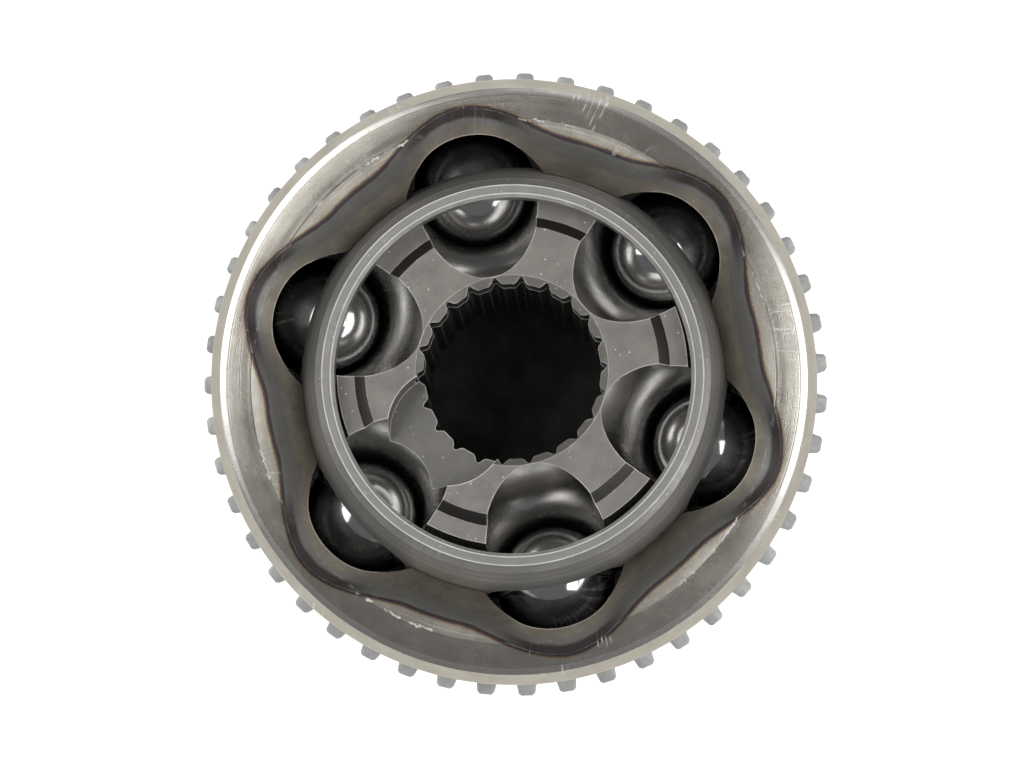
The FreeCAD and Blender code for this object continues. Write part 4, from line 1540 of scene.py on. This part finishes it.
@dataclass
class InnerRace(Machined):
    """The splined star that the drive shaft turns."""

    steps: int = 240
    face_height: float = 10.3
    back_height: float = 10.9
    ring_width: float = 2.2
    step_width: float = 1.4
    boss_height: float = 0.9
    tooth_count: int = 22
    spline_root: float = 12.0
    spline_depth: float = 0.8
    spline_phase: float = math.radians(89.3)
    spline_chamfer: float = 0.2
    space_flank: tuple = ((-1.0, 1.30), (-0.02, 0.93), (0.06, 0.74), (0.25, 0.54))
    space_root: tuple = ((0.12, 0.26), (0.0, 0.12))
    clip_inset: float = 2.2
    clip_width: float = 1.8
    clip_depth: float = 0.5
    relief_radius: float = 7.5
    relief_depth: float = 4.5
    relief_reach: float = 10.9
    relief_track: int = 2
    sphere_rows: int = 26

    SURFACES = (
        Surface.STAR_FACE, Surface.STAR_STEP, Surface.STAR_GROOVE, Surface.STAR_SPHERE,
        Surface.SPLINE, Surface.RELIEF,
    )

    @property
    def boss_face(self) -> float:
        """Height of the boss's face."""
        return self.face_height + self.boss_height

    def build(self) -> Object:
        """Model the race and hang it on its body."""
        cutters = [self._groove(angle) for angle in RUN.track_angles()]
        cutters += [self._spline_spaces(), self._clip_groove(), self._relief()]
        race = combine(self._blank(), cutters, Joining.CUT)
        return finish_piece(race, "inner", ["inner_race"], lean=RUN.rest_lean)

    def _blank(self) -> Object:
        """Turn the star's faces, sphere and bore."""
        sphere = RUN.cage_inner - RUN.sphere_clearance
        tip = self.spline_root - self.spline_depth
        mouth = self.spline_root + self.spline_chamfer
        face = on_sphere(sphere, self.face_height)
        boss_step = face - self.ring_width
        top = math.asin(self.face_height / sphere)
        low = -math.asin(self.back_height / sphere)
        profile = [
            (tip, -self.back_height + mouth - tip, Surface.SPLINE),
            (tip, self.boss_face - mouth + tip, Surface.STAR_FACE),
            (mouth, self.boss_face, Surface.STAR_FACE),
            # The step at the boss's foot takes the near-black painted shade.
            (boss_step - self.step_width, self.boss_face, Surface.STAR_STEP),
            (boss_step, self.face_height, Surface.STAR_FACE),
            *arc(sphere, top, low, self.sphere_rows, Surface.STAR_SPHERE)[:-1],
            (on_sphere(sphere, self.back_height), -self.back_height, Surface.STAR_FACE),
            (mouth, -self.back_height, Surface.STAR_FACE),
            (tip, -self.back_height + mouth - tip, Surface.STAR_FACE),
        ]
        return self._stock("inner_race_star").turn(profile, self.steps).as_object()

    def _groove(self, angle: float) -> Object:
        """Model one ball groove, open at both faces.

        Args:
            angle: Direction of the groove round Z.

        Returns:
            The cutter.
        """
        stock = self._stock("groove")
        stock.tube(
            -RUN.track_offset, -RUN.groove_reach, RUN.groove_reach, Surface.STAR_GROOVE, steps=80,
        )
        groove = stock.as_object()
        groove.data.transform(Matrix.Rotation(angle, 4, "Z"))
        return groove

    def _spline_spaces(self) -> Object:
        """The spaces between the spline's teeth."""
        stock = self._stock("spline_spaces")
        tip = self.spline_root - self.spline_depth
        side = [(tip + up, half) for up, half in self.space_flank]
        side += [(self.spline_root - down, half) for down, half in self.space_root]
        low = -self.back_height - OVERCUT
        rise = self.boss_face + OVERCUT - low
        for index in range(self.tooth_count):
            turn = self.spline_phase + index * FULL_TURN / self.tooth_count
            stock.prism(tooth_space(side, turn, low), rise, Surface.SPLINE)
        return stock.as_object()

    def _clip_groove(self) -> Object:
        """The groove for the shaft's wire ring, just inside the spline."""
        top = self.boss_face - self.clip_inset
        ends = [Vector((0.0, 0.0, height)) for height in (top - self.clip_width, top)]
        radius = self.spline_root + self.clip_depth
        return self._stock("clip_groove").rod(radius, *ends, Surface.SPLINE, self.steps).as_object()

    def _relief(self) -> Object:
        """The round relief milled beside one track."""
        turn = RUN.first_track + self.relief_track * RUN.step
        ends = [
            point_at(self.relief_reach, turn, height)
            for height in (self.boss_face - self.relief_depth, self.boss_face + OVERCUT)
        ]
        return self._stock("relief").rod(self.relief_radius, *ends, Surface.RELIEF, 120).as_object()


@dataclass
class BallSet(Machined):
    """The six balls, each on its own body."""

    steps: int = 96

    SURFACES = (Surface.BALL,)

    def build(self) -> list[Object]:
        """Model the balls where they lie at rest."""
        made = []
        for index, angle in enumerate(RUN.track_angles(), 1):
            stock = self._stock(f"steel_ball_{index}")
            stock.sphere(RUN.ball_radius, self.place(angle), Surface.BALL, self.steps)
            made.append(finish_piece(
                stock.as_object(), f"ball_{index}", [f"ball_{index}"],
                sharp=math.radians(80.0),
            ))
        return made

    @staticmethod
    def place(angle: float) -> Vector:
        """Return where the ball of one track lies at rest."""
        out = point_at(1.0, angle)
        lean = RUN.cage_lean
        if abs(out.x) < 1e-6:
            reach = RUN.pitch_radius - RUN.track_offset * lean * out.y
            return Vector((0.0, out.y * reach * math.cos(lean), -out.y * reach * math.sin(lean)))
        roll = -math.asin(RUN.track_offset / RUN.track_radius) - lean * out.y * RUN.roll_share
        height = RUN.track_offset + RUN.track_radius * math.sin(roll)
        return point_at(RUN.track_radius * math.cos(roll), angle, height)


# --- studio ----------------------------------------------------------------------------------------


def looking_at(target: Vector, away: Vector, reach: float, upright: Vector) -> Matrix:
    """Return the placing of a lamp or camera that looks at a point.

    Args:
        target: The point.
        away: Unit direction from the point to the lamp or camera.
        reach: Distance between them.
        upright: Direction that is up for the lamp or camera.

    Returns:
        Its world matrix.
    """
    side = upright.cross(away).normalized()
    turn = Matrix((side, away.cross(side), away)).transposed()
    return Matrix.Translation(target + away * reach) @ turn.to_4x4()


@dataclass(frozen=True)
class SoftBox:
    """A soft box that hangs round the joint and faces it.

    Attributes:
        name: Name of the lamp.
        turn: Its direction in the picture, in degrees from the right.
        tilt: Its angle from the bell's axis, in degrees.
        reach: Distance from the joint, in metres.
        width: Size across the direction that it hangs in, in metres.
        tall: Size round the joint, in metres.
        power: Power in watts.
    """

    name: str
    turn: float
    tilt: float
    reach: float
    width: float
    tall: float
    power: float


@dataclass
class Studio:
    """Pale floor, soft boxes, white surround and the camera over the bell's mouth."""

    distance: float = 0.6
    lens: float = 169.0
    sensor: float = 36.0
    clip: tuple[float, float] = (0.01, 50.0)
    picture_turn: float = math.radians(-11.5)
    sideways: float = 0.0139
    upwards: float = -0.0192
    aim: tuple[float, float] = (-0.00019, -0.00037)
    floor_gap: float = 0.0002
    floor_size: float = 6.0
    floor_tone: tuple = rgb(0.80, 0.80, 0.80)
    floor_lift: float = 0.62
    floor_glint: float = 0.3
    lee_turn: float = math.radians(110.0)
    wall_fall: float = -0.25
    wall_level: float = 0.88
    fill_fall: float = -0.42
    fill_level: float = 0.50
    wall_top: tuple[float, float] = (0.45, 0.26)
    ceiling: tuple = rgb(0.155, 0.155, 0.16)
    boxes: tuple[SoftBox, ...] = (
        SoftBox("left_box", 153.0, 33.0, 0.80, 0.30, 0.57, 1.22),
        SoftBox("left_wash", 160.0, 54.0, 0.80, 0.24, 0.70, 1.10),
        SoftBox("right_box", 1.0, 33.0, 0.80, 0.30, 0.34, 0.95),
        SoftBox("right_wash", -14.0, 54.0, 0.80, 0.24, 0.70, 1.10),
        SoftBox("top_box", 80.0, 38.0, 0.95, 0.22, 0.22, 0.12),
    )

    def build(self) -> None:
        """Set up floor, lights, world and camera."""
        self._floor()
        self._lights()
        self._world()
        self._camera()

    def _towards(self, turn: float) -> Vector:
        """Return the level direction at an angle from the picture's right."""
        return point_at(1.0, self.picture_turn + turn)

    def _floor(self) -> None:
        """Lay a pale floor under the stub's end, white to the camera and in reflections."""
        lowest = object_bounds()[0][2] - self.floor_gap
        mesh = bmesh.new()
        bmesh.ops.create_grid(mesh, x_segments=1, y_segments=1, size=self.floor_size)
        bmesh.ops.translate(mesh, verts=mesh.verts[:], vec=(0.0, 0.0, lowest))
        data = bpy.data.meshes.new("studio_floor")
        mesh.to_mesh(data)
        mesh.free()
        data.materials.append(self._floor_material())
        floor = put_in_scene("studio_floor", data)
        floor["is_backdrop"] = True

    def _floor_material(self) -> bpy.types.Material:
        """Return matt paint that glows for camera rays, and a little in reflections."""
        material = bpy.data.materials.new("pale_floor")
        hand = Nodes.fresh(material)
        path = hand.add("ShaderNodeLightPath")
        lift = hand.math("MULTIPLY", hand.seen(path), self.floor_lift)
        lift = hand.math("MULTIPLY_ADD", path.outputs["Is Glossy Ray"], self.floor_glint, lift)
        matt = hand.add("ShaderNodeBsdfDiffuse", {"Color": self.floor_tone})
        glow = hand.add("ShaderNodeEmission", {"Strength": lift})
        both = hand.add("ShaderNodeAddShader", {0: matt.outputs[0], 1: glow.outputs[0]})
        hand.add("ShaderNodeOutputMaterial", {"Surface": both.outputs[0]})
        return material

    def _lights(self) -> None:
        """Hang a high and a low soft box at each side and a small one over the top."""
        for box in self.boxes:
            lamp = bpy.data.lights.new(box.name, "AREA")
            lamp.shape = "RECTANGLE"
            lamp.size = box.width
            lamp.size_y = box.tall
            lamp.energy = box.power
            tilt = math.radians(box.tilt)
            flat = self._towards(math.radians(box.turn))
            away = flat * math.sin(tilt) + AXIS_Z * math.cos(tilt)
            holder = put_in_scene(box.name, lamp)
            holder.matrix_world = looking_at(ORIGIN, away, box.reach, away.cross(AXIS_Z))

    def _world(self) -> None:
        """White to the camera, and a studio with pale walls and a dim ceiling in reflections."""
        world = bpy.data.worlds.new("studio_world")
        bpy.context.scene.world = world
        hand = Nodes.fresh(world)
        way = hand.add("ShaderNodeTexCoord").outputs["Generated"]
        height = hand.add("ShaderNodeSeparateXYZ", {0: way}).outputs[2]
        lee = hand.dot(way, self._towards(self.lee_turn))
        wall = hand.math("MULTIPLY_ADD", lee, self.wall_fall, self.wall_level)
        fill = hand.math("MULTIPLY_ADD", lee, self.fill_fall, self.fill_level)
        low = hand.remap(height, *self.wall_top, smooth=True)
        studio = hand.mix(low, self.ceiling, wall)
        path = hand.add("ShaderNodeLightPath")
        room = hand.mix(path.outputs["Is Glossy Ray"], fill, studio)
        shade = hand.add("ShaderNodeBackground", {"Color": hand.mix(hand.seen(path), room, WHITE)})
        hand.add("ShaderNodeOutputWorld", {"Surface": shade.outputs[0]})

    def _camera(self) -> None:
        """Look down into the mouth, a little off the bell's axis."""
        right = self._towards(0.0)
        up = AXIS_Z.cross(right)
        face = AXIS_Z * MouthShape().height * MM
        target = face + right * self.aim[0] + up * self.aim[1]
        back = (AXIS_Z + right * self.sideways + up * self.upwards).normalized()
        lens = bpy.data.cameras.new("mouth_camera")
        lens.lens = self.lens
        lens.sensor_width = self.sensor
        lens.clip_start, lens.clip_end = self.clip
        camera = put_in_scene("mouth_camera", lens)
        camera.matrix_world = looking_at(target, back, self.distance, up)
        bpy.context.scene.camera = camera


def main() -> None:
    logging.basicConfig(level=logging.INFO, format="%(name)s %(message)s")
    bpy.context.scene.view_settings.view_transform = "Standard"
    OuterRace().build()
    SensorRing().build()
    Cage().build()
    InnerRace().build()
    BallSet().build()
    Studio().build()


if __name__ == "__main__":
    main()
